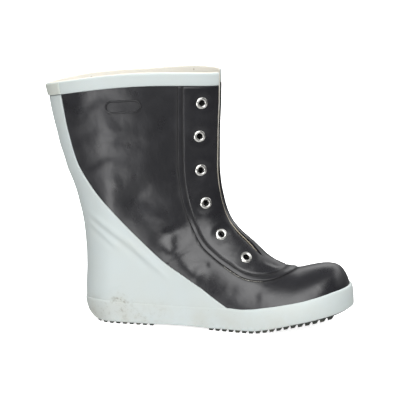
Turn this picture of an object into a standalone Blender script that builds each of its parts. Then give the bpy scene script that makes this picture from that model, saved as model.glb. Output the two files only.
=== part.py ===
"""A lace-up rubber boot for the right foot, with no lace in it.

Metres, +Z up, the toe toward +X and the outer side of the foot toward -Y.
Every table holds shares of the named sizes, so that a new size keeps the form.
"""
from math import atan2, cos, pi, sin, sqrt

import bmesh
import bpy
import numpy as np
from mathutils import Matrix, Vector
from mathutils.bvhtree import BVHTree

# Main sizes
LENGTH = 0.285        # heel to toe along the sole
HEIGHT = 0.264        # floor to the top of the collar
BALL = 0.100          # width across the ball of the foot
# Walls and steps
WALL = 0.0024         # rubber of the upper with its fabric lining
GAP = 0.0003          # room between pieces that meet
LAYER = 0.0011        # sheets laid over the upper
BORDER = 0.0006       # lower border round the eyelet facing
FOX_HEEL = 0.0019     # rubber strip round the sole, at the heel and waist
FOX_TOE = 0.0024      # the same strip over the toe
LUG = 0.0030          # height of the tread bars
PLATE = 0.0050        # sole above the bars
INSOLE = 0.0040
TONGUE = 0.0018
# Eyelets
EYELET_FLANGE = 0.0064
EYELET_HOLE = 0.0030
EYELET_BARREL = 0.0036
HOLE = (EYELET_BARREL + GAP) / cos(pi / 8)
SEAT = (EYELET_FLANGE + GAP) / cos(pi / 8)
# Fineness of the form: steps round half a section, and the sections by their place in FORM
HALF = 12
STANDS = (0, 1, 2, 3.5, 5, 6, 7, 8, 8.6, 9, 9.25, 9.55, 10, 10.9, 11.9,
          13, 14, 15, 16, 17, 18, 19, 20, 21, 22, 23, 24)

# Sections of the form, each one seen edge-on from the side, from the collar to the toe tip.
# front_x, front_z, back_x, back_z: ends, as shares of length and height
# bow: how far the middle stands over the straight line, share of height
# roof: length of the rounding at the front or top, share of ball; power: its fullness
# flat: 0 where the back end is round, 1 where the section ends in the open bottom
FORM = (
    ("collar",        0.513, 1.008, -0.150, 0.940, 0.026, 0.95, 1.70, 0),
    ("under collar",  0.512, 0.900, -0.134, 0.852, 0.013, 0.95, 1.72, 0),
    ("calf",          0.508, 0.777, -0.110, 0.746, 0.000, 0.94, 1.74, 0),
    ("shaft",         0.507, 0.697, -0.090, 0.652, 0.000, 0.93, 1.76, 0),
    ("ankle top",     0.506, 0.636, -0.060, 0.559, 0.000, 0.92, 1.78, 0),
    ("ankle",         0.509, 0.578, -0.030, 0.462, 0.000, 0.91, 1.80, 0),
    ("ankle bone",    0.521, 0.502, -0.010, 0.367, 0.000, 0.90, 1.84, 0),
    ("heel top",      0.533, 0.456, 0.000, 0.258, 0.000, 0.90, 1.88, 0),
    ("heel",          0.552, 0.414, 0.000, 0.133, 0.000, 0.90, 1.92, 0),
    ("heel seat",     0.582, 0.377, 0.030, -0.038, 0.000, 0.90, 1.96, 0),
    ("instep",        0.620, 0.342, 0.140, -0.038, 0.000, 0.87, 2.00, 1),
    ("low instep",    0.649, 0.314, 0.280, -0.038, 0.000, 0.80, 2.02, 1),
    ("throat end",    0.680, 0.282, 0.414, -0.038, 0.000, 0.73, 2.05, 1),
    ("waist",         0.716, 0.257, 0.526, -0.038, 0.000, 0.66, 2.08, 1),
    ("ball",          0.754, 0.241, 0.632, -0.038, 0.000, 0.60, 2.12, 1),
    ("vamp",          0.793, 0.237, 0.723, -0.038, 0.000, 0.57, 2.16, 1),
    ("vamp front",    0.835, 0.246, 0.804, -0.038, 0.000, 0.56, 2.20, 1),
    ("toe box",       0.868, 0.2535, 0.861, -0.038, 0.000, 0.56, 2.24, 1),
    ("toe top",       0.898, 0.258, 0.901, -0.038, 0.000, 0.55, 2.28, 1),
    ("toe turn",      0.925, 0.256, 0.935, -0.038, 0.000, 0.53, 2.30, 1),
    ("toe drop",      0.946, 0.247, 0.957, -0.038, 0.000, 0.49, 2.30, 1),
    ("toe front",     0.964, 0.225, 0.973, -0.038, 0.000, 0.43, 2.30, 1),
    ("toe low",       0.978, 0.196, 0.983, -0.038, 0.000, 0.36, 2.30, 1),
    ("toe bumper",    0.987, 0.162, 0.989, -0.038, 0.000, 0.29, 2.30, 1),
    ("toe tip",       0.9915, 0.118, 0.9915, -0.038, 0.000, 0.22, 2.30, 1),
)
# The back line from below the sole to the collar: height, place as a share of length
BACK = ((-0.038, 0.036), (0.019, 0.031), (0.045, 0.023), (0.070, 0.0165), (0.094, 0.014),
        (0.140, 0.0135), (0.215, 0.0155), (0.270, 0.0145), (0.315, 0.0115), (0.364, 0.007),
        (0.413, 0.000), (0.462, -0.011), (0.511, -0.023), (0.559, -0.039), (0.606, -0.058),
        (0.655, -0.072), (0.702, -0.087), (0.750, -0.098), (0.795, -0.109), (0.845, -0.120),
        (0.893, -0.128), (0.939, -0.138), (1.060, -0.152))
# Plan of the foot: place, half width and bend of the middle line, shares of length and ball
PLAN = ((0.00, 0.345, 0.000), (0.12, 0.350, 0.000), (0.28, 0.350, -0.010), (0.40, 0.360, -0.025),
        (0.50, 0.390, -0.030), (0.60, 0.435, -0.025), (0.68, 0.468, -0.005), (0.75, 0.480, 0.015),
        (0.82, 0.475, 0.045), (0.90, 0.450, 0.080), (1.00, 0.430, 0.105))
# The shaft: height, half width, length of the rounding at the back, shares of height and ball
SHAFT = ((-0.04, 0.345, 0.35), (0.20, 0.345, 0.36), (0.40, 0.345, 0.42), (0.60, 0.350, 0.50),
         (0.80, 0.358, 0.58), (1.06, 0.365, 0.66))
SHAFT_FROM, SHAFT_TO = 0.19, 0.48      # heights between which the foot turns into the shaft
TOE_TIP = 0.9925
TOE_ROUND = 0.44
# Underside: place, height of the tread over the floor, shares of length and height
GROUND = ((0.000, 0.045), (0.030, 0.030), (0.050, 0.018), (0.075, 0.008), (0.095, 0.005),
          (0.285, 0.005), (0.340, 0.007), (0.400, 0.008), (0.460, 0.007), (0.515, 0.005),
          (0.655, 0.005), (0.710, 0.012), (0.760, 0.022), (0.820, 0.035), (0.880, 0.047),
          (0.940, 0.061), (1.010, 0.080))
# Top edge of the rubber strip round the sole: place, height
FOX_TOP = ((-0.02, 0.090), (0.04, 0.097), (0.10, 0.100), (0.18, 0.096), (0.35, 0.096),
           (0.56, 0.101), (0.62, 0.099), (0.663, 0.102), (0.706, 0.109), (0.749, 0.116),
           (0.791, 0.124), (0.833, 0.133), (0.873, 0.144), (0.913, 0.155), (0.952, 0.167),
           (1.02, 0.180))
# Front edge of the white heel sheet: height, place
HEEL_EDGE = ((0.080, 0.605), (0.102, 0.566), (0.130, 0.524), (0.172, 0.466), (0.215, 0.401),
             (0.258, 0.337), (0.303, 0.284), (0.394, 0.191), (0.484, 0.107), (0.529, 0.068),
             (0.574, 0.036), (0.619, 0.008), (0.666, -0.012), (0.759, -0.037), (0.854, -0.055),
             (0.980, -0.076))
# Outer edge of the eyelet facing: height, place
FACING_EDGE = ((1.020, 0.368), (0.730, 0.370), (0.604, 0.374), (0.505, 0.389), (0.423, 0.414),
               (0.335, 0.458), (0.286, 0.508), (0.252, 0.557), (0.221, 0.607), (0.208, 0.645),
               (0.204, 0.686), (0.206, 0.714), (0.214, 0.744), (0.229, 0.779), (0.246, 0.812))
FACING_BORDER = 0.0058
# Eyelets from the top: place, height
EYELETS = ((0.452, 0.889), (0.445, 0.759), (0.450, 0.625), (0.469, 0.495), (0.528, 0.374),
           (0.623, 0.290))
# The open throat, half its width: height of the front line, half gap as a share of ball
THROAT = ((1.12, 0.100), (0.80, 0.080), (0.60, 0.062), (0.45, 0.044), (0.36, 0.028),
          (0.300, 0.012), (0.284, 0.006))
BAND = 0.0135         # height of the collar band
TAB_END = 0.085       # length of the tab behind the collar, share of length
BADGE_PLACE = (0.176, 0.872)
BADGE_HALF = 0.0191
BADGE_RADIUS = 0.0068
BADGE_RIM = 0.0016
BADGE_TURN = 0.08
# The tongue: where it starts under the collar, how deep it hangs behind the throat
TONGUE_ROWS = ((0.930, 0.110, 0.46), (0.800, 0.105, 0.46), (0.650, 0.090, 0.46),
               (0.520, 0.080, 0.45), (0.430, 0.070, 0.44), (0.365, 0.065, 0.42),
               (0.315, 0.065, 0.38), (0.275, 0.065, 0.32))
# Tread bars: first and last place, count, share of the pitch that is bar
BARS = ((0.072, 0.300, 9, 0.56), (0.500, 0.952, 18, 0.60))

COLOURS = {
    "black_rubber": (0.020, 0.020, 0.022, 0.30, 0.0),
    "white_rubber": (0.62, 0.68, 0.67, 0.45, 0.0),
    "grey_rubber": (0.50, 0.52, 0.48, 0.50, 0.0),
    "sole_rubber": (0.030, 0.033, 0.026, 0.65, 0.0),
    "beige_lining": (0.62, 0.55, 0.42, 0.90, 0.0),
    "nickel": (0.72, 0.72, 0.70, 0.28, 1.0),
}


def read(table, at, column=1):
    """A smooth value of one column of a table whose first column rises or falls."""
    rows = table if table[0][0] < table[-1][0] else tuple(reversed(table))
    xs = [r[0] for r in rows]
    ys = [r[column] for r in rows]
    if at <= xs[0]:
        return ys[0]
    if at >= xs[-1]:
        return ys[-1]
    i = max(j for j in range(len(xs) - 1) if xs[j] <= at)
    h = xs[i + 1] - xs[i]

    def slope(j):
        if j == 0 or j == len(xs) - 1:
            a, b = (0, 1) if j == 0 else (len(xs) - 2, len(xs) - 1)
            return (ys[b] - ys[a]) / (xs[b] - xs[a])
        left = (ys[j] - ys[j - 1]) / (xs[j] - xs[j - 1])
        right = (ys[j + 1] - ys[j]) / (xs[j + 1] - xs[j])
        if left * right <= 0:
            return 0.0
        return 2 * left * right / (left + right)

    t = (at - xs[i]) / h
    a, b = slope(i) * h, slope(i + 1) * h
    return (ys[i] * (2 * t**3 - 3 * t**2 + 1) + a * (t**3 - 2 * t**2 + t)
            + ys[i + 1] * (3 * t**2 - 2 * t**3) + b * (t**3 - t**2))


def smooth(t):
    t = min(1.0, max(0.0, t))
    return t * t * (3 - 2 * t)


def round_end(t, power=2.0):
    """Width of a rounded end, from 0 at its tip to 1 where it is full."""
    t = min(1.0, max(0.0, t))
    return (1 - (1 - t) ** power) ** (1 / power)


def row(place):
    """The form's section at a place from 0 to 1 down the list, read between its rows."""
    table = [(i, *r[1:]) for i, r in enumerate(FORM)]
    at = place * (len(FORM) - 1)
    fx, fz, bx, bz, bow, roof, power, flat = [read(table, at, c) for c in range(1, 9)]
    bx = max(bx, read(BACK, bz))
    flat = min(1.0, flat * 3)
    return (Vector((fx * LENGTH, 0, fz * HEIGHT)), Vector((bx * LENGTH, 0, bz * HEIGHT)),
            bow * HEIGHT, roof * BALL, power, flat)


def middle(x, z):
    """The bend of the foot's middle line, gone in the shaft."""
    up = smooth((z / HEIGHT - SHAFT_FROM) / (SHAFT_TO - SHAFT_FROM))
    return read(PLAN, x / LENGTH, 2) * BALL * (1 - up)


def half_width(x, z):
    """Half the form's width at a point of the side view, without the rounding on top."""
    up = smooth((z / HEIGHT - SHAFT_FROM) / (SHAFT_TO - SHAFT_FROM))
    foot = read(PLAN, x / LENGTH, 1)
    shaft = read(SHAFT, z / HEIGHT, 1)
    back = read(SHAFT, z / HEIGHT, 2) * BALL
    from_back = (x - read(BACK, z / HEIGHT) * LENGTH) / back
    from_toe = (TOE_TIP * LENGTH - x) / (TOE_ROUND * BALL)
    return (foot * (1 - up) + shaft * up) * BALL * round_end(from_back) * round_end(from_toe, 2.2)


def section(place):
    """Points of one closed section: front, outer side, back, inner side."""
    front, back, bow, roof, power, flat = row(place)
    along = back - front
    length = along.length
    lift = Vector((-along.z, 0, along.x)).normalized()
    lift = lift if lift.z > 0 else -lift
    near, far = [], []
    for k in range(HALF + 1):
        u = (1 - cos(pi * min(1.0, k / (HALF - flat)))) / 2
        p = front + along * u + lift * (bow * 4 * u * (1 - u))
        y = middle(p.x, p.z)
        w = half_width(p.x, p.z) * round_end(u * length / roof, power)
        if k in (0, HALF):
            near.append(Vector((p.x, y, p.z)))
            far.append(None)
        else:
            near.append(Vector((p.x, y - w, p.z)))
            far.append(Vector((p.x, y + w, p.z)))
    return near + [p for p in reversed(far) if p is not None]


def grid():
    """Points of the sections at STANDS, closer together where the heel turns into the sole."""
    return np.array([[tuple(p) for p in section(v / (len(FORM) - 1))] for v in STANDS])


GRID = grid()


def normals(points):
    around = np.roll(points, -1, axis=1) - np.roll(points, 1, axis=1)
    down = np.gradient(points, axis=0)
    n = np.cross(around, down)
    n /= np.maximum(np.linalg.norm(n, axis=2, keepdims=True), 1e-12)
    if float((n[len(n) // 3] * (points[len(n) // 3] - points[len(n) // 3].mean(0))).sum()) < 0:
        n = -n
    # The last section closes the toe, so its points also look forward.
    n[-1] += np.array([1.4, 0, 0])
    n[-1] /= np.linalg.norm(n[-1], axis=1, keepdims=True)
    # Under the floor the form is only a straight skirt for the cuts, so it moves sideways alone.
    under = points[:, :, 2] < 0
    n[:, :, 2] = np.where(under, 0, n[:, :, 2])
    size = np.linalg.norm(n, axis=2, keepdims=True)
    n = np.where(under[:, :, None], n / np.maximum(size, 1e-9), n)
    below = np.abs(points[:, HALF, 2] - points[:, HALF - 1, 2]) < 1e-6
    n[below, HALF] = 0
    n[-1, HALF] = (1, 0, 0)
    return n


NORMALS = normals(GRID)


def fresh(name, verts, faces):
    mesh = bpy.data.meshes.new(name)
    mesh.from_pydata([tuple(v) for v in verts], [], faces)
    bm = bmesh.new()
    bm.from_mesh(mesh)
    bmesh.ops.recalc_face_normals(bm, faces=bm.faces)
    bm.to_mesh(mesh)
    bm.free()
    thing = bpy.data.objects.new(name, mesh)
    bpy.context.scene.collection.objects.link(thing)
    return thing


def shape(name, offset, above=0.0):
    """The form as a closed solid, moved out by the offset (a number, or a function of the point)."""
    shift = np.vectorize(offset)(GRID[:, :, 0], GRID[:, :, 2]) if callable(offset) else offset
    pts = GRID + NORMALS * (shift[:, :, None] if callable(offset) else shift)
    # Inward, the last sections would pass the one that closes the toe, so they are left out.
    rings = [list(r) for r in pts if r[0][0] < pts[-1][0][0] - 0.0009] + [list(pts[-1])]
    if above:
        # The cutting solids also reach lower, so that no two ends lie in one plane.
        for ring in rings:
            for p in ring:
                p[2] -= 0.004 if p[2] < -0.036 * HEIGHT else 0.0
        rings.insert(0, [p + np.array([0, 0, above]) for p in pts[0]])
    m = len(rings[0])
    verts = [p for r in rings for p in r]
    # Triangles split alike in every copy, so that two copies stay the same way apart.
    faces = []
    for i in range(len(rings) - 1):
        for j in range(m):
            a, b = i * m + j, i * m + (j + 1) % m
            c, d = b + m, a + m
            faces += [(a, b, d), (b, c, d)] if j < m / 2 else [(a, b, c), (a, c, d)]
    faces.append(tuple(range(m)))
    faces.append(tuple((len(rings) - 1) * m + j for j in reversed(range(m))))
    return fresh(name, verts, faces)


def prism(name, outline, y0=-0.09, y1=0.09):
    """An outline of the side view drawn out across the foot."""
    n = len(outline)
    verts = [(x, y0, z) for x, z in outline] + [(x, y1, z) for x, z in outline]
    faces = [tuple(range(n)), tuple(range(2 * n - 1, n - 1, -1))]
    faces += [(i, i + n, (i + 1) % n + n, (i + 1) % n) for i in range(n)]
    return fresh(name, verts, faces)


def tidy(thing):
    """Joins points that fell together and drops edges of no length."""
    bm = bmesh.new()
    bm.from_mesh(thing.data)
    bmesh.ops.remove_doubles(bm, verts=bm.verts, dist=4e-6)
    bmesh.ops.dissolve_degenerate(bm, edges=bm.edges, dist=4e-6)
    bmesh.ops.triangulate(bm, faces=[f for f in bm.faces if len(f.verts) > 4])
    bmesh.ops.recalc_face_normals(bm, faces=bm.faces)
    bm.to_mesh(thing.data)
    bm.free()


def cut(thing, cutter, how="DIFFERENCE", keep=False):
    """Boolean of two solids, worked out at once."""
    mod = thing.modifiers.new("cut", "BOOLEAN")
    mod.operation = how
    mod.solver = "EXACT"
    mod.object = cutter
    graph = bpy.context.evaluated_depsgraph_get()
    mesh = bpy.data.meshes.new_from_object(thing.evaluated_get(graph))
    thing.modifiers.remove(mod)
    old = thing.data
    thing.data = mesh
    bpy.data.meshes.remove(old)
    tidy(thing)
    if not keep:
        remove(cutter)
    return thing


def remove(thing):
    mesh = thing.data
    bpy.data.objects.remove(thing)
    bpy.data.meshes.remove(mesh)


def clean(thing, name, colour):
    """Names the piece, joins points that fell together and gives it its material."""
    bm = bmesh.new()
    bm.from_mesh(thing.data)
    bmesh.ops.dissolve_limit(bm, angle_limit=0.006, verts=bm.verts, edges=bm.edges)
    bm.to_mesh(thing.data)
    bm.free()
    tidy(thing)
    thing.name = name
    thing.data.name = name
    mat = bpy.data.materials.new(name + "_" + colour)
    mat.use_nodes = True
    r, g, b, rough, metal = COLOURS[colour]
    node = next(n for n in mat.node_tree.nodes if n.type == "BSDF_PRINCIPLED")
    node.inputs["Base Color"].default_value = (r, g, b, 1)
    node.inputs["Roughness"].default_value = rough
    node.inputs["Metallic"].default_value = metal
    mat.diffuse_color = (r, g, b, 1)
    thing.data.materials.clear()
    thing.data.materials.append(mat)
    return thing


def curve(table, scale_first, scale_second, count, lo=None, hi=None):
    """A table read as a smooth line of points: first column, second column."""
    a = min(table[0][0], table[-1][0]) if lo is None else lo
    b = max(table[0][0], table[-1][0]) if hi is None else hi
    return [((a + (b - a) * i / count) * scale_first,
             read(table, a + (b - a) * i / count) * scale_second) for i in range(count + 1)]


def ground(x):
    return read(GROUND, x / LENGTH) * HEIGHT


def stations(lo=-0.25, hi=1.06, count=48):
    """Places along the floor where the lines of the sole are read."""
    return [(lo + (hi - lo) * i / count) * LENGTH for i in range(count + 1)]


def strip(name, low, high):
    """Everything between two lines over the floor, each a function of the place."""
    xs = stations()
    return prism(name, [(x, low(x)) for x in xs] + [(x, high(x)) for x in reversed(xs)])


def fox_top(x):
    return read(FOX_TOP, x / LENGTH) * HEIGHT


def feather(x):
    """Lower edge of the upper, over the sole."""
    return ground(x) + LUG + PLATE + GAP


def collar_line(drop):
    """The collar's edge in the side view, lowered, from its back to its front."""
    front, back, bow, _, _, _ = row(0)
    line = []
    for i in range(17):
        u = 1.10 - 1.2 * i / 16
        p = front + (back - front) * u
        line.append((p.x, p.z + bow * 4 * u * (1 - u) - drop))
    return line


def above_collar(name, drop):
    line = collar_line(drop)
    top = HEIGHT + 0.05
    return prism(name, line + [(line[-1][0] + 0.01, top), (line[0][0] - 0.01, top)])


def front_path():
    """The front line of the form with its outward direction, from over the collar to the vamp."""
    pts = []
    for i in range(121):
        front = row(i / 120 * 0.75)[0]
        pts.append((front.x, front.z))
    return pts


def throat_cutter(name, extra=0.0):
    path = front_path()
    first = (path[0][0] + 0.0002, path[0][1] + 0.03)
    path = [first] + path
    rows = []
    for (half_at, half) in THROAT:
        z = half_at * HEIGHT
        best = min(range(1, len(path) - 1), key=lambda i: abs(path[i][1] - z))
        a, b = path[best - 1], path[best + 1]
        d = Vector((b[0] - a[0], 0, b[1] - a[1])).normalized()
        out = Vector((-d.z, 0, d.x))
        out = out if out.x > 0 else -out
        p = Vector((path[best][0], 0, path[best][1]))
        if half_at > 1:
            p = Vector((path[1][0], 0, z))
            out = Vector((1, 0, 0))
        rows.append((p, out, half * BALL + extra))
    verts, faces = [], []
    for p, out, half in rows:
        for side, reach in ((-1, 0.016), (1, 0.016), (1, -0.020), (-1, -0.020)):
            q = p + out * reach
            verts.append((q.x, middle(p.x, p.z) + side * half, q.z))
    for i in range(len(rows) - 1):
        for j in range(4):
            k = (j + 1) % 4
            faces.append((4 * i + j, 4 * i + k, 4 * i + 4 + k, 4 * i + 4 + j))
    faces.append((3, 2, 1, 0))
    e = 4 * (len(rows) - 1)
    faces.append((e, e + 1, e + 2, e + 3))
    return fresh(name, verts, faces)


def surface(offset):
    probe = shape("probe", offset, above=0.02)
    tree = BVHTree.FromPolygons([v.co.copy() for v in probe.data.vertices],
                                [tuple(p.vertices) for p in probe.data.polygons])
    remove(probe)
    return tree


def seat_of(tree, place, side):
    """The point of the facing over a place of the side view and its outward direction."""
    x, z = place[0] * LENGTH, place[1] * HEIGHT
    start = Vector((x, side * 1.2 * BALL, z))
    hit = tree.ray_cast(start, Vector((0, -side, 0)))
    point = hit[0]
    around = []
    for dx, dz in ((0.005, 0), (-0.005, 0), (0, 0.005), (0, -0.005)):
        other = tree.ray_cast(Vector((x + dx, side * 1.2 * BALL, z + dz)), Vector((0, -side, 0)))
        around.append(other[0])
    n = (around[0] - around[1]).cross(around[2] - around[3]).normalized()
    n = n if n.y * side > 0 else -n
    return point, n


def turned(profile, point, axis, name, steps=10):
    """A profile of radius and height turned round an axis."""
    spin = axis.to_track_quat("Z", "Y").to_matrix()
    verts, faces = [], []
    m = len(profile)
    for i in range(steps):
        a = 2 * pi * i / steps
        for r, h in profile:
            verts.append(point + spin @ Vector((r * cos(a), r * sin(a), h)))
    for i in range(steps):
        for j in range(m):
            a, b = i * m + j, i * m + (j + 1) % m
            c, d = ((i + 1) % steps) * m + (j + 1) % m, ((i + 1) % steps) * m + j
            faces.append((a, b, c, d))
    return fresh(name, verts, faces)


def drum(point, axis, radius, low, high, name, steps=8):
    spin = axis.to_track_quat("Z", "Y").to_matrix()
    turns = [2 * pi * i / steps for i in range(steps)]
    verts = [point + spin @ Vector((radius * cos(a), radius * sin(a), h))
             for h in (low, high) for a in turns]
    faces = [tuple(range(steps)), tuple(range(2 * steps - 1, steps - 1, -1))]
    faces += [(i, i + steps, (i + 1) % steps + steps, (i + 1) % steps) for i in range(steps)]
    return fresh(name, verts, faces)


def build_upper(seats):
    upper = shape("upper", 0.0)
    cut(upper, shape("inside", -WALL, above=0.02))
    cut(upper, strip("under", lambda x: -0.05, feather))
    cut(upper, throat_cutter("throat"))
    for point, axis in seats:
        cut(upper, drum(point, axis, HOLE, -0.014, 0.01, "hole"))
    return clean(upper, "upper", "black_rubber")


def build_heel_panel():
    panel = shape("heel_panel", GAP + LAYER)
    cut(panel, shape("under", GAP, above=0.02))
    edge = [(x, z) for z, x in curve(HEEL_EDGE, HEIGHT, LENGTH, 18)]
    edge += [(-0.10, edge[-1][1]), (-0.10, edge[0][1])]
    cut(panel, prism("edge", edge), "INTERSECT")
    cut(panel, strip("sole", lambda x: -0.05, lambda x: fox_top(x) + GAP))
    cut(panel, above_collar("top", BAND + GAP))
    return clean(panel, "heel_panel", "white_rubber")


def build_band():
    band = shape("collar_band", GAP + LAYER)
    cut(band, shape("under", GAP, above=0.02))
    cut(band, above_collar("top", BAND), "INTERSECT")
    cut(band, throat_cutter("throat"))
    return clean(band, "collar_band", "white_rubber")


def build_tab():
    tab = shape("collar_tab", 2 * GAP + 2 * LAYER)
    cut(tab, shape("under", 2 * GAP + LAYER, above=0.02))
    cut(tab, above_collar("top", BAND - 0.0006), "INTERSECT")
    end = (row(0)[1].x) + TAB_END * LENGTH * 0.55
    cut(tab, prism("end", [(-0.1, 0.1), (end, 0.1), (end, 0.3), (-0.1, 0.3)]), "INTERSECT")
    return clean(tab, "collar_tab", "grey_rubber")


def facing_outline(inset):
    edge = [(r[1] * LENGTH, r[0] * HEIGHT) for r in FACING_EDGE]
    fine = []
    for i in range(len(edge) - 1):
        p0 = edge[max(0, i - 1)]
        p1, p2 = edge[i], edge[i + 1]
        p3 = edge[min(len(edge) - 1, i + 2)]
        for k in range(2):
            t = k / 2
            fine.append(tuple(0.5 * (2 * b + (c - a) * t + (2 * a - 5 * b + 4 * c - d) * t * t
                                     + (3 * b - a - 3 * c + d) * t**3)
                              for a, b, c, d in zip(p0, p1, p2, p3)))
    fine.append(edge[-1])
    out = []
    for i, p in enumerate(fine):
        a, b = fine[max(0, i - 1)], fine[min(len(fine) - 1, i + 1)]
        dx, dz = b[0] - a[0], b[1] - a[1]
        n = sqrt(dx * dx + dz * dz)
        out.append((p[0] - dz / n * inset, p[1] + dx / n * inset))
    return out + [(LENGTH * 0.86, out[-1][1] + 0.012), (LENGTH * 0.86, HEIGHT * 1.05), (out[0][0], HEIGHT * 1.05)]


def build_facing(seats):
    thick = GAP + LAYER + BORDER
    facing = shape("facing", thick)
    cut(facing, shape("under", GAP, above=0.02))
    cut(facing, prism("outline", facing_outline(0.0)), "INTERSECT")
    border = shape("border", thick + 0.003)
    cut(border, shape("under", GAP + LAYER, above=0.02))
    cut(border, prism("inner", facing_outline(FACING_BORDER)))
    cut(facing, border)
    cut(facing, above_collar("top", BAND + GAP))
    cut(facing, throat_cutter("throat"))
    for point, axis in seats:
        cut(facing, drum(point, axis, HOLE, -0.014, 0.012, "hole"))
        cut(facing, drum(point, axis, SEAT, -0.0007, 0.008, "seat"))
    return clean(facing, "facing", "black_rubber")


def build_foxing():
    def thick(x, z):
        return GAP + FOX_HEEL + (FOX_TOE - FOX_HEEL) * smooth((x / LENGTH - 0.45) / 0.25)
    foxing = shape("foxing", thick)
    cut(foxing, shape("under", GAP, above=0.02))
    cut(foxing, strip("between", lambda x: ground(x) + LUG - 0.0006, fox_top), "INTERSECT")
    return clean(foxing, "foxing", "white_rubber")


def build_outsole():
    sole = shape("outsole", 0.0)
    xs = [x / LENGTH for x in stations() if -0.03 < x / LENGTH < 1.04]
    top = [(s * LENGTH, ground(s * LENGTH) + LUG + PLATE) for s in xs]
    low = []
    stops = []
    for first, last, count, share in BARS:
        pitch = (last - first) / count
        for i in range(count):
            a = first + pitch * i
            stops.append((a, a + pitch * share))
    plain = [s for s in xs if not any(a - 0.004 < s < b + 0.004 for a, b in stops)]
    marks = [(s, "base") for s in plain]
    for a, b in stops:
        marks += [(a, "rise"), (b, "fall")]
    for s, kind in sorted(marks):
        x = s * LENGTH
        g = ground(x)
        if kind == "base":
            low.append((x, g + LUG))
        elif kind == "rise":
            low += [(x - 0.0004, g + LUG), (x + 0.0004, g)]
        else:
            low += [(x - 0.0004, g), (x + 0.0004, g + LUG)]
    cut(sole, prism("tread", low + list(reversed(top))), "INTERSECT")
    return clean(sole, "outsole", "sole_rubber")


def build_insole():
    insole = shape("insole", -WALL - GAP)
    cut(insole, strip("slab", feather, lambda x: feather(x) + INSOLE), "INTERSECT")
    return clean(insole, "insole", "beige_lining")


def build_tongue():
    """A soft gusset that hangs behind the throat, a fold across each section."""
    path = [(row(i / 200 * 0.62), i / 200 * 0.62) for i in range(201)]
    rows = []
    for height, recess, reach in TONGUE_ROWS:
        z = height * HEIGHT
        (front, back, bow, roof, power, flat), v = min(path, key=lambda p: abs(p[0][0].z - z))
        along = (back - front).normalized()
        seam = reach * BALL
        p = front + along * seam
        w = half_width(p.x, p.z) * round_end(seam / roof, power) - WALL - GAP - 0.0016
        deep = recess * BALL + WALL + GAP
        outer, inner = [], []
        for j in range(9):
            f = -1 + j / 4
            t = deep + (seam - deep) * abs(f) ** 1.5
            slope = 1.5 * (seam - deep) * sqrt(abs(f)) * (1 if f > 0 else -1) / w
            n = sqrt(1 + slope * slope)
            q = front + along * t
            y = middle(q.x, q.z)
            outer.append(Vector((q.x, y + w * f, q.z)))
            q2 = front + along * (t + TONGUE / n)
            inner.append(Vector((q2.x, y + w * f - TONGUE * slope / n, q2.z)))
        rows.append(outer + list(reversed(inner)))
    m = len(rows[0])
    verts = [p for r in rows for p in r]
    faces = []
    for i in range(len(rows) - 1):
        for j in range(m):
            k = (j + 1) % m
            faces.append((i * m + j, i * m + k, (i + 1) * m + k, (i + 1) * m + j))
    half = m // 2
    e = (len(rows) - 1) * m
    for j in range(half - 1):
        faces.append((j, j + 1, m - 2 - j, m - 1 - j))
        faces.append((e + m - 1 - j, e + m - 2 - j, e + j + 1, e + j))
    return clean(fresh("tongue", verts, faces), "tongue", "black_rubber")


def stadium(half, radius, steps=8):
    cx, cz = BADGE_PLACE[0] * LENGTH, BADGE_PLACE[1] * HEIGHT
    pts = []
    for sign, start in ((1, -pi / 2), (-1, pi / 2)):
        for i in range(steps + 1):
            a = start + pi * i / steps
            pts.append((sign * (half - radius) + radius * cos(a), radius * sin(a)))
    c, s = cos(BADGE_TURN), sin(BADGE_TURN)
    return [(cx + x * c - z * s, cz + x * s + z * c) for x, z in pts]


def build_badge():
    badge = shape("badge", GAP + 0.0010)
    cut(badge, shape("under", GAP, above=0.02))
    cut(badge, prism("outline", stadium(BADGE_HALF, BADGE_RADIUS), -0.09, 0.0), "INTERSECT")
    dish = shape("dish", 0.004)
    cut(dish, shape("under", GAP + 0.0005, above=0.02))
    cut(dish, prism("inner", stadium(BADGE_HALF - BADGE_RIM, BADGE_RADIUS - BADGE_RIM), -0.09, 0.0), "INTERSECT")
    cut(badge, dish)
    return clean(badge, "badge", "black_rubber")


def build_eyelet(point, axis, name):
    seat = -0.0007 + GAP
    deep = seat - (LAYER + BORDER + GAP + WALL) - 0.0006
    profile = ((EYELET_HOLE, seat + 0.0008), (0.72 * EYELET_FLANGE, seat + 0.0015),
               (EYELET_FLANGE, seat), (EYELET_BARREL, seat), (EYELET_BARREL, deep),
               (EYELET_HOLE, deep))
    return clean(turned(profile, point, axis, name), name, "nickel")


def main():
    for thing in list(bpy.data.objects):
        bpy.data.objects.remove(thing)
    tree = surface(GAP + LAYER + BORDER)
    seats = {side: [seat_of(tree, place, side) for place in EYELETS] for side in (-1, 1)}
    both = seats[-1] + seats[1]
    build_upper(both)
    build_heel_panel()
    build_band()
    build_tab()
    build_facing(both)
    build_foxing()
    build_outsole()
    build_insole()
    build_tongue()
    build_badge()
    for side, word in ((-1, "lateral"), (1, "medial")):
        for i, (point, axis) in enumerate(seats[side]):
            build_eyelet(point, axis, f"eyelet_{word}_{i + 1}")
    # The row's frame: middle of the whole boot on the floor.
    pieces = [o for o in bpy.data.objects if o.type == "MESH"]
    points = [v.co for o in pieces for v in o.data.vertices]
    low = Vector([min(p[a] for p in points) for a in range(3)])
    high = Vector([max(p[a] for p in points) for a in range(3)])
    move = Matrix.Translation((-(low.x + high.x) / 2, -(low.y + high.y) / 2, -low.z))
    for o in pieces:
        o.data.transform(move)
        o.data.update()


main()
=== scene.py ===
"""Dresses the rubber boot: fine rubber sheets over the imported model, and the studio round it.

Lengths are metres. The tables hold shares of the boot's length, height and ball width, seen from
the side: a place runs from the heel to the toe, a height from the floor up.
"""
from functools import lru_cache
from math import cos, pi, radians, sin

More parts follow.
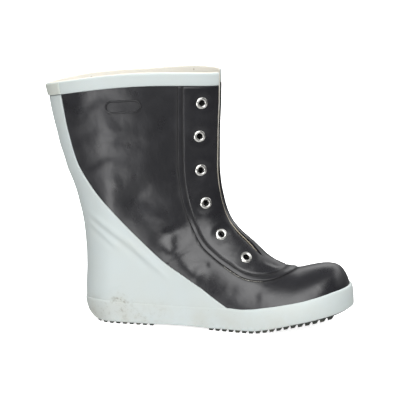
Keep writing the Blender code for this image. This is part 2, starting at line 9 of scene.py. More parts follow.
import bmesh
import bpy
import numpy as np
from bpy.props import FloatProperty, FloatVectorProperty, PointerProperty
from mathutils import Matrix, Vector
from mathutils.bvhtree import BVHTree
from mathutils.interpolate import poly_3d_calc


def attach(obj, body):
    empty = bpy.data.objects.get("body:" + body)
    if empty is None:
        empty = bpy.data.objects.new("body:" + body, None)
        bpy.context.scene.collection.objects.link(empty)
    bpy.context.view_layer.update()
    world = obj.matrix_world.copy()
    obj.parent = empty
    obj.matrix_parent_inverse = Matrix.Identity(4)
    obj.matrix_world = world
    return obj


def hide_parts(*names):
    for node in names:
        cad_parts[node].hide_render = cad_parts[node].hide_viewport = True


bl_info = {
    "name": "Rubber boot",
    "version": (1, 0, 0),
    "blender": (4, 5, 0),
    "location": "View3D > Sidebar > Boot",
    "description": "Builds a right rubber boot piece by piece on its packed frame",
    "category": "Object",
}

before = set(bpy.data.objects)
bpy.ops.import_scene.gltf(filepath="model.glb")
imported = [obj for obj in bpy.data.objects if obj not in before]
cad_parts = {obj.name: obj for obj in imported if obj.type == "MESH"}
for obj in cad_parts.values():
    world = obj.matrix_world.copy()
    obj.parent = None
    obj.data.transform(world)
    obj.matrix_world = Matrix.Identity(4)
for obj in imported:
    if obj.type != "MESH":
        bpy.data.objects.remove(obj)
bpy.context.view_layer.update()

# From the form's own start, at the heel on the floor, to the middle of the whole boot.
SHIFT = np.array([-0.12158, -0.00252, -0.00132])
MM = 0.001
# How far out a ray to the skin starts, and how far a hole's cutter reaches in and out
RAY_START = 0.12
CUT_IN, CUT_OUT = -0.012, 0.008
# The band's lower line as a place, where its pull on the rows below ends, and a section's height
BAND_LINE, PULL_END, SECTION_HIGH = 0.5, 1.8, 26 * MM
# How wide the wear and the creases run out from one side to the other, and at a crease's ends
WEAR_BLEND, CREASE_BLEND, CREASE_FADE = 24 * MM, 9 * MM, 0.22

# Sections of the form, seen edge-on from the side: front place and height, back place and
# height, bow, length of the rounding on top as a share of the ball width, and its fullness.
FORM = (
    ("collar", 0.513, 1.008, -0.150, 0.940, 0.026, 0.95, 1.70),
    ("under collar", 0.512, 0.900, -0.134, 0.852, 0.013, 0.95, 1.72),
    ("calf", 0.508, 0.777, -0.110, 0.746, 0.000, 0.94, 1.74),
    ("shaft", 0.507, 0.697, -0.090, 0.652, 0.000, 0.93, 1.76),
    ("ankle top", 0.506, 0.636, -0.060, 0.559, 0.000, 0.92, 1.78),
    ("ankle", 0.509, 0.578, -0.030, 0.462, 0.000, 0.91, 1.80),
    ("ankle bone", 0.521, 0.502, -0.010, 0.367, 0.000, 0.90, 1.84),
    ("heel top", 0.533, 0.456, 0.000, 0.258, 0.000, 0.90, 1.88),
    ("heel", 0.552, 0.414, 0.000, 0.133, 0.000, 0.90, 1.92),
    ("heel seat", 0.582, 0.377, 0.030, -0.038, 0.000, 0.90, 1.96),
    ("instep", 0.620, 0.342, 0.140, -0.038, 0.000, 0.87, 2.00),
    ("low instep", 0.649, 0.314, 0.280, -0.038, 0.000, 0.80, 2.02),
    ("throat end", 0.680, 0.282, 0.414, -0.038, 0.000, 0.73, 2.05),
    ("waist", 0.716, 0.257, 0.526, -0.038, 0.000, 0.66, 2.08),
    ("ball", 0.754, 0.241, 0.632, -0.038, 0.000, 0.60, 2.12),
    ("vamp", 0.793, 0.237, 0.723, -0.038, 0.000, 0.57, 2.16),
    ("vamp front", 0.835, 0.246, 0.804, -0.038, 0.000, 0.56, 2.20),
    ("toe box", 0.868, 0.2535, 0.861, -0.038, 0.000, 0.56, 2.24),
    ("toe top", 0.898, 0.258, 0.901, -0.038, 0.000, 0.55, 2.28),
    ("toe turn", 0.925, 0.256, 0.935, -0.038, 0.000, 0.53, 2.30),
    ("toe drop", 0.946, 0.247, 0.957, -0.038, 0.000, 0.49, 2.30),
    ("toe front", 0.964, 0.225, 0.973, -0.038, 0.000, 0.43, 2.30),
    ("toe low", 0.978, 0.196, 0.983, -0.038, 0.000, 0.36, 2.30),
    ("toe bumper", 0.987, 0.162, 0.989, -0.038, 0.000, 0.29, 2.30),
    ("toe tip", 0.9915, 0.118, 0.9915, -0.038, 0.000, 0.22, 2.30),
    ("toe end", 0.9925, 0.085, 0.9925, -0.038, 0.000, 0.18, 2.30),
)
LAST = len(FORM) - 1
TOE_TIP, TOE_ROUND = 0.9925, 0.44
# The back line: height, place
BACK = ((-0.038, 0.036), (0.019, 0.031), (0.045, 0.023), (0.070, 0.0165), (0.094, 0.014),
        (0.140, 0.0135), (0.215, 0.0155), (0.270, 0.0145), (0.315, 0.0115), (0.364, 0.007),
        (0.413, 0.000), (0.462, -0.011), (0.511, -0.023), (0.559, -0.039), (0.606, -0.058),
        (0.655, -0.072), (0.702, -0.087), (0.750, -0.098), (0.795, -0.109), (0.845, -0.120),
        (0.893, -0.128), (0.939, -0.138), (1.060, -0.152))
# Plan of the foot: place, half width, bend of the middle line
PLAN = ((0.00, 0.345, 0.000), (0.12, 0.350, 0.000), (0.28, 0.350, -0.010), (0.40, 0.360, -0.025),
        (0.50, 0.390, -0.030), (0.60, 0.435, -0.025), (0.68, 0.468, -0.005), (0.75, 0.480, 0.015),
        (0.82, 0.475, 0.045), (0.90, 0.450, 0.080), (1.00, 0.430, 0.105))
# The shaft: height, half width, length of the rounding at its back
SHAFT = ((-0.04, 0.345, 0.35), (0.20, 0.345, 0.36), (0.40, 0.345, 0.42), (0.60, 0.350, 0.50),
         (0.80, 0.358, 0.58), (1.06, 0.365, 0.66))
SHAFT_FROM, SHAFT_TO = 0.19, 0.48
# Underside of the tread: place, height
GROUND = ((0.000, 0.045), (0.030, 0.030), (0.050, 0.018), (0.075, 0.008), (0.095, 0.005),
          (0.285, 0.005), (0.340, 0.007), (0.400, 0.008), (0.460, 0.007), (0.515, 0.005),
          (0.655, 0.005), (0.710, 0.012), (0.760, 0.022), (0.820, 0.035), (0.880, 0.047),
          (0.940, 0.061), (1.010, 0.080))
# Top edge of the strip round the sole: place, height
STRIP_TOP = ((-0.02, 0.090), (0.04, 0.097), (0.10, 0.100), (0.18, 0.096), (0.35, 0.096),
             (0.56, 0.101), (0.62, 0.099), (0.663, 0.102), (0.706, 0.109), (0.749, 0.116),
             (0.791, 0.124), (0.833, 0.133), (0.873, 0.144), (0.913, 0.155), (0.952, 0.167),
             (1.02, 0.180))
# Front edge of the white heel sheet: height, place
HEEL_EDGE = ((0.040, 0.670), (0.080, 0.605), (0.102, 0.566), (0.130, 0.524), (0.172, 0.466),
             (0.215, 0.401), (0.258, 0.337), (0.303, 0.284), (0.394, 0.191), (0.484, 0.107),
             (0.529, 0.068), (0.574, 0.036), (0.619, 0.008), (0.666, -0.012), (0.759, -0.037),
             (0.854, -0.055), (0.980, -0.076), (1.060, -0.089))
# Outer edge of the eyelet facing: height, place
FACING_EDGE = ((1.020, 0.368), (0.730, 0.370), (0.604, 0.374), (0.505, 0.389), (0.423, 0.414),
               (0.335, 0.458), (0.286, 0.508), (0.252, 0.557), (0.221, 0.607), (0.208, 0.645),
               (0.204, 0.686), (0.206, 0.714), (0.214, 0.744), (0.229, 0.779), (0.246, 0.812))
# Eyelets from the top: place, height
EYELETS = ((0.4495, 0.888), (0.4425, 0.758), (0.4475, 0.624), (0.4665, 0.494), (0.5255, 0.3705),
           (0.6205, 0.2855))
# The open throat: height of the front line, half gap and shift to the outer side, as shares of
# the ball width
THROAT = ((1.120, 0.060, 0.000), (0.950, 0.060, 0.000), (0.800, 0.060, 0.000),
          (0.600, 0.054, 0.002), (0.520, 0.048, 0.004), (0.450, 0.042, 0.008),
          (0.410, 0.0385, 0.0165),
          (0.380, 0.040, 0.035), (0.340, 0.035, 0.055), (0.310, 0.0225, 0.0725),
          (0.290, 0.0075, 0.0800), (0.284, 0.001, 0.076), (0.280, -0.010, 0.068),
          (0.270, -0.050, 0.034), (0.262, -0.100, 0.000), (0.000, -0.200, 0.000))
# The gusset: height of the front line, how deep its middle hangs, where its sides are held
GUSSET = ((0.930, 0.110, 0.46), (0.800, 0.105, 0.46), (0.650, 0.090, 0.46), (0.520, 0.080, 0.45),
          (0.430, 0.070, 0.44), (0.365, 0.065, 0.42), (0.315, 0.065, 0.38), (0.275, 0.065, 0.32))
# Tread bars: first and last place, count, share of the pitch that is bar
BARS = ((0.072, 0.300, 9, 0.56), (0.500, 0.952, 18, 0.60))
BADGE_PLACE, BADGE_TURN = (0.176, 0.872), 0.08
# Creases: which side (-1 outer, 1 inner, 0 both), height and half width in mm, then their path
CREASES = (
    ("heel fold", -1, 1.0, 3.2, ((0.010, 0.462), (0.086, 0.414), (0.149, 0.369), (0.206, 0.327),
                                 (0.262, 0.278), (0.315, 0.229), (0.366, 0.176))),
    ("trough under it", -1, -0.8, 3.4, ((0.020, 0.436), (0.080, 0.395), (0.140, 0.350),
                                        (0.196, 0.306), (0.250, 0.258), (0.300, 0.212))),
    ("short fold", -1, 0.7, 2.6, ((0.024, 0.418), (0.086, 0.374), (0.134, 0.334), (0.182, 0.296))),
    ("trough under the short fold", -1, -0.5, 3.0, ((0.030, 0.392), (0.090, 0.348),
                                                    (0.150, 0.302))),
    ("shaft crease", -1, -0.55, 3.6, ((0.080, 0.752), (0.147, 0.737), (0.202, 0.736),
                                      (0.280, 0.738))),
    ("over the shaft crease", -1, 0.35, 5.0, ((0.090, 0.790), (0.160, 0.775), (0.240, 0.776))),
    ("ankle hollow", -1, -2.4, 17.0, ((0.180, 0.560), (0.270, 0.480), (0.350, 0.410),
                                      (0.420, 0.340))),
    ("instep swell", -1, 2.0, 13.0, ((0.330, 0.370), (0.385, 0.290), (0.440, 0.215),
                                     (0.480, 0.180))),
    ("fold over the instep", -1, -0.8, 5.5, ((0.330, 0.400), (0.350, 0.345), (0.362, 0.300))),
    ("small fold", -1, -0.5, 3.5, ((0.420, 0.250), (0.470, 0.262), (0.500, 0.252))),
    ("upper shaft hollow", -1, -1.0, 14.0, ((0.020, 0.800), (0.045, 0.700), (0.090, 0.620))),
    ("upper shaft swell", -1, 0.9, 12.0, ((0.070, 0.900), (0.110, 0.810), (0.150, 0.700))),
    ("ankle swell", -1, 0.8, 10.0, ((0.160, 0.520), (0.130, 0.600), (0.140, 0.680))),
    ("instep fold", -1, -0.7, 6.0, ((0.400, 0.520), (0.430, 0.440), (0.470, 0.360),
                                    (0.500, 0.310))),
    ("vamp hollow", 0, -0.8, 9.0, ((0.560, 0.175), (0.620, 0.150), (0.700, 0.150))),
    ("inner heel fold", 1, 0.8, 3.6, ((0.020, 0.430), (0.100, 0.380), (0.180, 0.330),
                                      (0.250, 0.270))),
    ("inner trough", 1, -0.7, 4.0, ((0.030, 0.400), (0.110, 0.348), (0.190, 0.296))),
    ("inner shaft crease", 1, -0.6, 4.5, ((0.100, 0.700), (0.180, 0.690), (0.260, 0.700))),
    ("inner ankle hollow", 1, -1.0, 12.0, ((0.240, 0.480), (0.320, 0.400), (0.390, 0.330))),
    ("tip ridge", 0, 0.55, 1.2, ((0.680, 0.280), (0.703, 0.268), (0.728, 0.252), (0.763, 0.245),
                                 (0.800, 0.241))),
    ("tip trough", 0, -0.45, 1.3, ((0.676, 0.270), (0.703, 0.257), (0.735, 0.243), (0.775, 0.236))),
    ("lower tip ridge", 0, 0.35, 1.3, ((0.672, 0.260), (0.703, 0.247), (0.740, 0.234),
                                       (0.770, 0.228))),
)


def read(table, at, column=1):
    """Smooth values of one column of a table whose first column rises or falls."""
    rows = np.array([(r[0], r[column]) for r in table], float)
    if rows[0, 0] > rows[-1, 0]:
        rows = rows[::-1]
    xs, ys = rows[:, 0], rows[:, 1]
    at = np.clip(np.asarray(at, float), xs[0], xs[-1])
    wide = np.diff(xs)
    steep = np.diff(ys) / wide
    slope = np.empty_like(xs)
    slope[0], slope[-1] = steep[0], steep[-1]
    a, b = steep[:-1], steep[1:]
    total = np.where(a + b == 0, 1, a + b)
    slope[1:-1] = np.where(a * b > 0, 2 * a * b / total, 0)
    i = np.clip(np.searchsorted(xs, at, side="right") - 1, 0, len(xs) - 2)
    t = (at - xs[i]) / wide[i]
    p, q = slope[i] * wide[i], slope[i + 1] * wide[i]
    return (ys[i] * (2 * t**3 - 3 * t**2 + 1) + p * (t**3 - 2 * t**2 + t)
            + ys[i + 1] * (3 * t**2 - 2 * t**3) + q * (t**3 - t**2))


def smooth(t):
    """A soft step from 0 to 1."""
    t = np.clip(t, 0, 1)
    return t * t * (3 - 2 * t)


def round_end(t, power=2.0):
    """Width of a rounded end, from 0 at its tip to 1 where it is full."""
    t = np.clip(t, 0, 1)
    return np.power(np.maximum(1 - np.power(1 - t, power), 0), 1 / power)


def rolled(distance, radius):
    """Height of a rolled edge, 0 at the edge and 1 from one radius inward."""
    t = np.clip(distance / radius, 0, 1)
    return np.sqrt(np.maximum(1 - (1 - t) ** 2, 0))


def fine_line(points, parts=6):
    """A smooth line through the points, with several steps between two of them."""
    pts = np.asarray(points, float)
    ends = np.vstack([2 * pts[0] - pts[1], pts, 2 * pts[-1] - pts[-2]])
    out = []
    for a, b, c, d in zip(ends, ends[1:], ends[2:], ends[3:]):
        for k in range(parts):
            t = k / parts
            out.append(0.5 * (2 * b + (c - a) * t + (2 * a - 5 * b + 4 * c - d) * t * t
                              + (3 * b - a - 3 * c + d) * t**3))
    return np.array(out + [pts[-1]])


def to_line(line, x, z):
    """Distance to a line of the side view, signed by its side, and the share along it."""
    x, z = np.broadcast_arrays(np.asarray(x, float), np.asarray(z, float))
    steps = np.diff(line, axis=0)
    lengths = np.hypot(steps[:, 0], steps[:, 1])
    start = np.concatenate([[0], np.cumsum(lengths)])
    best = np.full(x.shape, 1e9)
    side = np.ones(x.shape)
    share = np.zeros(x.shape)
    for k, (step, size) in enumerate(zip(steps, lengths)):
        dx, dz = x - line[k, 0], z - line[k, 1]
        t = np.clip((dx * step[0] + dz * step[1]) / size**2, 0, 1)
        far = np.hypot(dx - t * step[0], dz - t * step[1])
        near = far < best
        best = np.where(near, far, best)
        side = np.where(near, np.sign(step[0] * dz - step[1] * dx), side)
        share = np.where(near, (start[k] + t * size) / start[-1], share)
    return best, side, share


class Form:
    """The boot's form: where each point of its skin lies, and which way it looks.

    A point is given by its place down the list of sections and by its turn round the section,
    0 at the front, below 0 on the outer side and above 0 on the inner side, pi at the back.
    """

    def __init__(self, length, height, ball):
        self.length, self.height, self.ball = length, height, ball
        self.rows = [[(i, r[c]) for i, r in enumerate(FORM)] for c in range(1, 8)]
        self.creases = [(side, high * MM, wide * MM, fine_line(self.metres(path)))
                        for _, side, high, wide, path in CREASES]
        self.eyelets = self.metres(EYELETS)
        self.facing_edge = fine_line(self.metres([(p, h) for h, p in FACING_EDGE]))
        self.heel_edge = fine_line(self.metres([(p, h) for h, p in HEEL_EDGE]))
        u = np.linspace(-0.1, 1.1, 61)
        x, z, _ = self.across(np.zeros(1), u)
        self.collar = (x[::-1], z[::-1])
        self.table = None
        self.drops()
        self.build_tree()

    def metres(self, pairs):
        """Points of the side view, given as shares of the length and the height."""
        return np.array([(x * self.length, z * self.height) for x, z in pairs])

    def ends(self, place):
        """Front and back end of a section, its bow, and its rounding on top with its fullness."""
        fx, fz, bx, bz, bow, roof, power = [read(r, place) for r in self.rows]
        bx = np.maximum(bx, read(BACK, bz))
        return (fx * self.length, fz * self.height, bx * self.length, bz * self.height,
                bow * self.height, roof * self.ball, power)

    def across(self, place, u):
        """Side view of a point, u of the way from the front of its section to the back."""
        fx, fz, bx, bz, bow, _, _ = self.ends(place)
        ax, az = bx - fx, bz - fz
        size = np.hypot(ax, az)
        flip = np.where(ax > 0, 1.0, -1.0) / size
        lift = bow * 4 * u * (1 - u)
        return fx + ax * u - az * flip * lift, fz + az * u + ax * flip * lift, size

    def middle(self, x, z):
        """Where the middle line lies across: it bends to the inner side in the foot alone."""
        up = smooth((z / self.height - SHAFT_FROM) / (SHAFT_TO - SHAFT_FROM))
        return read(PLAN, x / self.length, 2) * self.ball * (1 - up)

    def half_width(self, x, z):
        """Half the foot's or shaft's width there, drawn in at the heel, the back and the toe."""
        high = z / self.height
        up = smooth((high - SHAFT_FROM) / (SHAFT_TO - SHAFT_FROM))
        wide = read(PLAN, x / self.length, 1) * (1 - up) + read(SHAFT, high, 1) * up
        back = (x - read(BACK, high) * self.length) / (read(SHAFT, high, 2) * self.ball)
        toe = (TOE_TIP * self.length - x) / (TOE_ROUND * self.ball)
        return wide * self.ball * round_end(back) * round_end(toe, 2.2)

    def spread(self, place, turn):
        """Side view of a point and its distance from the middle line."""
        place, turn = np.broadcast_arrays(np.asarray(place, float), np.asarray(turn, float))
        u = (1 - np.cos(turn)) / 2
        x, z, size = self.across(place, u)
        roof, power = self.ends(place)[5:]
        return x, z, self.half_width(x, z) * round_end(u * size / roof, power)

    def bare(self, place, turn):
        """Points of the form with no creases, in the form's own places."""
        x, z, w = self.spread(place, turn)
        off = np.sign(np.sin(turn)) * w
        return np.stack([x, self.middle(x, z) + off, z + self.worn(x, z, off)], axis=-1)

    def worn(self, x, z, off):
        """How far wear has lifted or lowered the shaft's top, unlike on its two sides."""
        top = smooth((z / self.height - 0.76) / 0.24)
        ahead = smooth((x / self.length - 0.20) / 0.30)
        arch = np.exp(-((x / self.length - 0.20) / 0.20) ** 2)
        inner = smooth(0.5 + off / WEAR_BLEND)
        return top * MM * (inner * (2.2 * ahead - 2.8 * arch) - (1 - inner) * 1.6 * ahead)

    def normal(self, place, turn):
        """Which way the bare form looks."""
        e = 0.004
        place, turn = np.broadcast_arrays(np.asarray(place, float), np.asarray(turn, float))
        lo, hi = np.clip(place - e, 0, LAST), np.clip(place + e, 0, LAST)
        down = self.bare(hi, turn) - self.bare(lo, turn)
        round_ = self.bare(place, turn + e) - self.bare(place, turn - e)
        n = np.cross(round_, down)
        n /= np.maximum(np.linalg.norm(n, axis=-1, keepdims=True), 1e-12)
        away = n[..., 1] * np.sign(np.sin(turn)) + n[..., 2] * 0.3 * (place > 9)
        flat = np.abs(np.sin(turn)) < 0.05
        front = np.where(np.cos(turn) > 0, 1.0, -1.0)
        away = np.where(flat, n[..., 0] * front + n[..., 2] * 0.5 * (front > 0), away)
        n = n * np.where(away < 0, -1.0, 1.0)[..., None]
        n[..., 2] = np.where(self.bare(place, turn)[..., 2] < 0, 0, n[..., 2])
        n[place > LAST - 1e-6] = (1, 0, 0)
        return n / np.maximum(np.linalg.norm(n, axis=-1, keepdims=True), 1e-9)

    def relief(self, points):
        """Height of the creases and of the dimples round the eyelets at these points."""
        x, y, z = points[..., 0], points[..., 1], points[..., 2]
        off = y - self.middle(x, z)
        high = np.zeros(x.shape)
        for side, size, wide, line in self.creases:
            far, _, share = to_line(line, x, z)
            fade = smooth(np.minimum(share, 1 - share) / CREASE_FADE)
            part = 1.0 if side == 0 else smooth(off * side / CREASE_BLEND)
            high += size * np.exp(-(far / wide) ** 2) * fade * part
        for ex, ez in self.eyelets:
            far = np.hypot(x - ex, z - ez)
            high += (-0.75 * np.exp(-(far / (7.6 * MM)) ** 2)
                     + 0.22 * np.exp(-((far - 11 * MM) / (3 * MM)) ** 2)) * MM
        return high

    def skin(self, place, turn, out=0.0):
        """Points in the boot's own frame, a distance out from the creased form."""
        p = self.bare(place, turn)
        n = self.normal(place, turn)
        shift = np.asarray(out) + self.relief(p)
        return p + n * shift[..., None] + SHIFT

    def places(self, count, lo=0.0, hi=float(LAST)):
        """Sections about the same distance apart."""
        fine = np.linspace(lo, hi, 1600)
        far = np.zeros(len(fine) - 1)
        for turn in (0.0, pi / 2, pi):
            p = self.bare(fine, turn)
            far = np.maximum(far, np.linalg.norm(np.diff(p, axis=0), axis=1))
        run = np.concatenate([[0], np.cumsum(far)])
        return np.interp(np.linspace(0, run[-1], count), run, fine)

    def first_turn(self, place, value, fine=241):
        """The first turn at which value(x, z, half width) is below 0, seen from the front."""
        turns = np.linspace(0, pi, fine)
        x, z, w = self.spread(place[:, None], turns[None, :])
        v = value(x, z, w)
        low = v < 0
        hit = np.where(low.any(axis=1), low.argmax(axis=1), fine - 1)
        k = np.maximum(hit, 1)
        i = np.arange(len(place))
        a, b = v[i, k - 1], v[i, k]
        t = np.clip(a / np.where(a - b == 0, 1, a - b), 0, 1)
        found = turns[k - 1] + t * (turns[k] - turns[k - 1])
        found = np.where(low.any(axis=1), found, pi)
        return np.where(low[:, 0], 0.0, found)

    def drops(self):
        """How far under the collar line each section lies, for each turn."""
        places = np.linspace(0, 1.9, 96)
        turns = np.linspace(0, pi, 61)
        x, z, _ = self.spread(places[:, None], turns[None, :])
        self.table = (turns, places, np.interp(x, *self.collar) - z)

    def under_collar(self, turn, drop):
        """The place of a point this far under the collar line."""
        turns, places, deep = self.table
        turn = np.abs((np.asarray(turn, float) + pi) % (2 * pi) - pi)
        turn, drop = np.broadcast_arrays(turn, np.asarray(drop, float))
        at = np.clip(turn / pi * (len(turns) - 1), 0, len(turns) - 1.000001)
        i = at.astype(int)
        flat = np.array([np.interp(drop.ravel(), deep[:, k], places)
                         for k in range(len(turns))])
        n = np.arange(drop.size)
        lo, hi = flat[i.ravel(), n], flat[i.ravel() + 1, n]
        return (lo + (hi - lo) * (at - i).ravel()).reshape(drop.shape)

    def lip(self, place, side, inset=0.0):
        """The turn, counted from the front, at which one side's edge of the throat lies."""
        high = self.ends(place)[1] / self.height
        gap = read(THROAT, high) * self.ball
        aside = read(THROAT, high, 2) * self.ball * -side
        reach = np.where(gap > 0, np.maximum(gap + inset, np.minimum(gap, 0.0006)), 0) + aside
        turn = self.first_turn(place, lambda x, z, w: np.abs(reach)[:, None] - w)
        return np.where(np.abs(reach) < 1e-6, 0, turn * np.sign(reach))

    def build_tree(self):
        """A fine skin for finding points by rays."""
        rows, turns = self.places(230), np.linspace(-pi, pi, 181)
        p = self.bare(rows[:, None], turns[None, :])
        n = self.normal(rows[:, None], turns[None, :])
        p = p + n * self.relief(p)[..., None] + SHIFT
        m = len(turns)
        tris = []
        for i in range(len(rows) - 1):
            for j in range(m - 1):
                a, b, c, d = i * m + j, i * m + j + 1, (i + 1) * m + j + 1, (i + 1) * m + j
                tris += [(a, b, c), (a, c, d)]
        self.points = [Vector(q) for q in p.reshape(-1, 3)]
        self.looks = [Vector(q) for q in n.reshape(-1, 3)]
        self.tris = tris
        self.tree = BVHTree.FromPolygons(self.points, tris)

    def drop_on(self, start, way, out=0.0):
        """Where a ray meets the skin, moved out, and the direction the skin looks there."""
        hit, _, index, _ = self.tree.ray_cast(Vector(start), Vector(way))
        if hit is None:
            raise RuntimeError(f"no skin on the way from {tuple(start)}")
        tri = self.tris[index]
        shares = poly_3d_calc([self.points[k] for k in tri], hit)
        look = sum((self.looks[k] * s for k, s in zip(tri, shares)), Vector()).normalized()
        return hit + look * out, look

    def at_side(self, x, z, side, out=0.0):
        """The same for a point of the side view, in the form's own places."""
        start = (x + SHIFT[0], side * RAY_START, z + SHIFT[2])
        return self.drop_on(start, (0, -side, 0), out)


@lru_cache(maxsize=4)
def form_of(length, height, ball):
    """Worked out once for each set of sizes."""
    return Form(length, height, ball)


def the_form(sizes):
    return form_of(round(sizes.length, 5), round(sizes.height, 5), round(sizes.ball, 5))


def ground(form, x):
    """Height of the tread's underside."""
    return read(GROUND, x / form.length) * form.height


def feather(form, x, sizes):
    """Height of the upper's lower edge, on top of the sole."""
    return ground(form, x) + sizes.lug + sizes.plate + sizes.gap


def mesh_piece(name, verts, faces, material, crisp=60):
    """A mesh object with outward faces, shaded smooth except over sharp edges."""
    mesh = bpy.data.meshes.new(name)
    mesh.from_pydata([tuple(v) for v in verts], [], faces)
    bm = bmesh.new()
    bm.from_mesh(mesh)
    bmesh.ops.remove_doubles(bm, verts=bm.verts, dist=2e-5)
    bmesh.ops.dissolve_degenerate(bm, edges=bm.edges, dist=1e-5)
    bmesh.ops.recalc_face_normals(bm, faces=bm.faces)
    bm.to_mesh(mesh)
    bm.free()
    mesh.shade_smooth()
    mesh.set_sharp_from_angle(angle=radians(crisp))
    mesh.materials.append(material)
    piece = bpy.data.objects.new(name, mesh)
    bpy.context.scene.collection.objects.link(piece)
    return piece


def mark(piece, name, of):
    """A value kept on each point of a piece, worked out from its place in the side view."""
    mesh = piece.data
    co = np.zeros(len(mesh.vertices) * 3)
    mesh.vertices.foreach_get("co", co)
    co = co.reshape(-1, 3) - SHIFT
    kept_values = mesh.attributes.new(name, "FLOAT", "POINT")
    kept_values.data.foreach_set("value", np.clip(of(co), 0, 1).astype(np.float32))


def by_seam_shade(form, sizes):
    """How much shade is painted on each point: 1 in the corner under the facing's edge and in the
    groove beside its border.
    """
    def value(co):
        far, side, _ = to_line(form.facing_edge, co[:, 0], co[:, 2] - form.worn(
            co[:, 0], co[:, 2], co[:, 1] - form.middle(co[:, 0], co[:, 2])))
        x, z = float(form.facing_edge[0, 0]) + 0.02, float(form.facing_edge[0, 1])
        _, sign, _ = to_line(form.facing_edge, np.array([x]), np.array([z]))
        inside = far * side * sign[0]
        return (np.exp(-((inside + 0.1 * MM) / (1.05 * MM)) ** 2)
                + 0.85 * np.exp(-((inside - sizes.border_width) / (0.95 * MM)) ** 2))
    return value


# Soil, the same on both sides: place, height, radius in mm, strength
SOIL = ((0.150, 0.092, 9.0, 0.55), (0.190, 0.060, 9.0, 0.50), (0.236, 0.043, 4.0, 0.90),
        (0.255, 0.026, 3.0, 1.00), (0.110, 0.060, 8.0, 0.40), (0.170, 0.105, 5.0, 0.60),
        (0.300, 0.060, 12.0, 0.22), (0.060, 0.050, 7.0, 0.35))


def by_soil(form):
    """How much soil lies on each point of the white rubber."""
    def value(co):
        total = np.zeros(len(co))
        for place, high, radius, strength in SOIL:
            far = np.hypot(co[:, 0] - place * form.length, co[:, 2] - high * form.height)
            total += strength * np.exp(-(far / (radius * MM)) ** 2)
        return total
    return value


def grid_faces(rows, columns, first=0, loop_rows=False, loop_columns=False):
    """Four-sided faces between the points of a grid, closed one way or both where asked."""
    faces = []
    for i in range(rows if loop_rows else rows - 1):
        for j in range(columns if loop_columns else columns - 1):
            a, b = i, (i + 1) % rows
            c, d = j, (j + 1) % columns
            faces.append((first + a * columns + c, first + a * columns + d,
                          first + b * columns + d, first + b * columns + c))
    return faces


def thick_sheet(name, grids, depth, material, holes=()):
    """Grids of points joined into one sheet, made thick inward, with round holes cut through."""
    verts, faces = [], []
    for grid in grids:
        n, m = grid.shape[:2]
        faces += grid_faces(n, m, len(verts))
        verts += list(grid.reshape(-1, 3))
    piece = mesh_piece(name, verts, faces, material)
    outward(piece.data)
    solid = piece.modifiers.new("thickness", "SOLIDIFY")
    solid.thickness = depth
    solid.offset = -1
    if len(holes):
        cutter = drums(holes)
        mod = piece.modifiers.new("holes", "BOOLEAN")
        mod.operation, mod.solver, mod.object = "DIFFERENCE", "EXACT", cutter
        apply_all(piece)
        piece.data.set_sharp_from_angle(angle=radians(60))
        mesh = cutter.data
        bpy.data.objects.remove(cutter)
        bpy.data.meshes.remove(mesh)
    return piece


def outward(mesh):
    """Turns an open sheet's faces away from the middle of the boot's hollow."""
    n = len(mesh.polygons)
    centre, normal = np.zeros(n * 3), np.zeros(n * 3)
    mesh.polygons.foreach_get("center", centre)
    mesh.polygons.foreach_get("normal", normal)
    centre, normal = centre.reshape(-1, 3), normal.reshape(-1, 3)
    side = centre[:, 1] - SHIFT[1]
    if float((normal[:, 1] * np.sign(side) * (np.abs(side) > 0.01)).sum()) < 0:
        mesh.flip_normals()


def apply_all(piece):
    """Keeps what a piece's modifiers make as its mesh."""
    graph = bpy.context.evaluated_depsgraph_get()
    mesh = bpy.data.meshes.new_from_object(piece.evaluated_get(graph))
    piece.modifiers.clear()
    old = piece.data
    piece.data = mesh
    mesh.name = piece.name
    bpy.data.meshes.remove(old)


def drums(holes, steps=28):
    """One cutter made of short round bars: point, direction, radius."""
    verts, faces = [], []
    for point, way, radius in holes:
        spin = way.to_track_quat("Z", "Y").to_matrix()
        first = len(verts)
        for h in (CUT_IN, CUT_OUT):
            verts += [point + spin @ Vector((radius * cos(2 * pi * i / steps),
                                             radius * sin(2 * pi * i / steps), h))
                      for i in range(steps)]
        faces += [tuple(first + i for i in reversed(range(steps))),
                  tuple(first + steps + i for i in range(steps))]
        faces += [(first + i, first + (i + 1) % steps, first + steps + (i + 1) % steps,
                   first + steps + i) for i in range(steps)]
    mesh = bpy.data.meshes.new("drums")
    mesh.from_pydata([tuple(v) for v in verts], [], faces)
    cutter = bpy.data.objects.new("drums", mesh)
    bpy.context.scene.collection.objects.link(cutter)
    return cutter


def seats(form, sizes):
    """Where each eyelet stands on the facing, and which way it looks: side, number, point, look."""
    out = sizes.layer + sizes.border + sizes.gap
    found = []
    for side in (-1, 1):
        for i, (x, z) in enumerate(form.eyelets):
            point, look = form.at_side(x, z, side, out)
            found.append((side, i + 1, point, look))
    return found


def eyelet_holes(form, sizes):
    """The round holes that the eyelets go through, a little wider than their tubes."""
    radius = sizes.eyelet_hole + 0.5 * MM
    return [(point, look, radius) for _, _, point, look in seats(form, sizes)]


def settle(piece, slot, *nodes):
    """The last words on a piece: its body and the node it stands for. The slot is not used."""
    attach(piece, "root")
    if nodes:
        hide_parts(*nodes)
    return piece


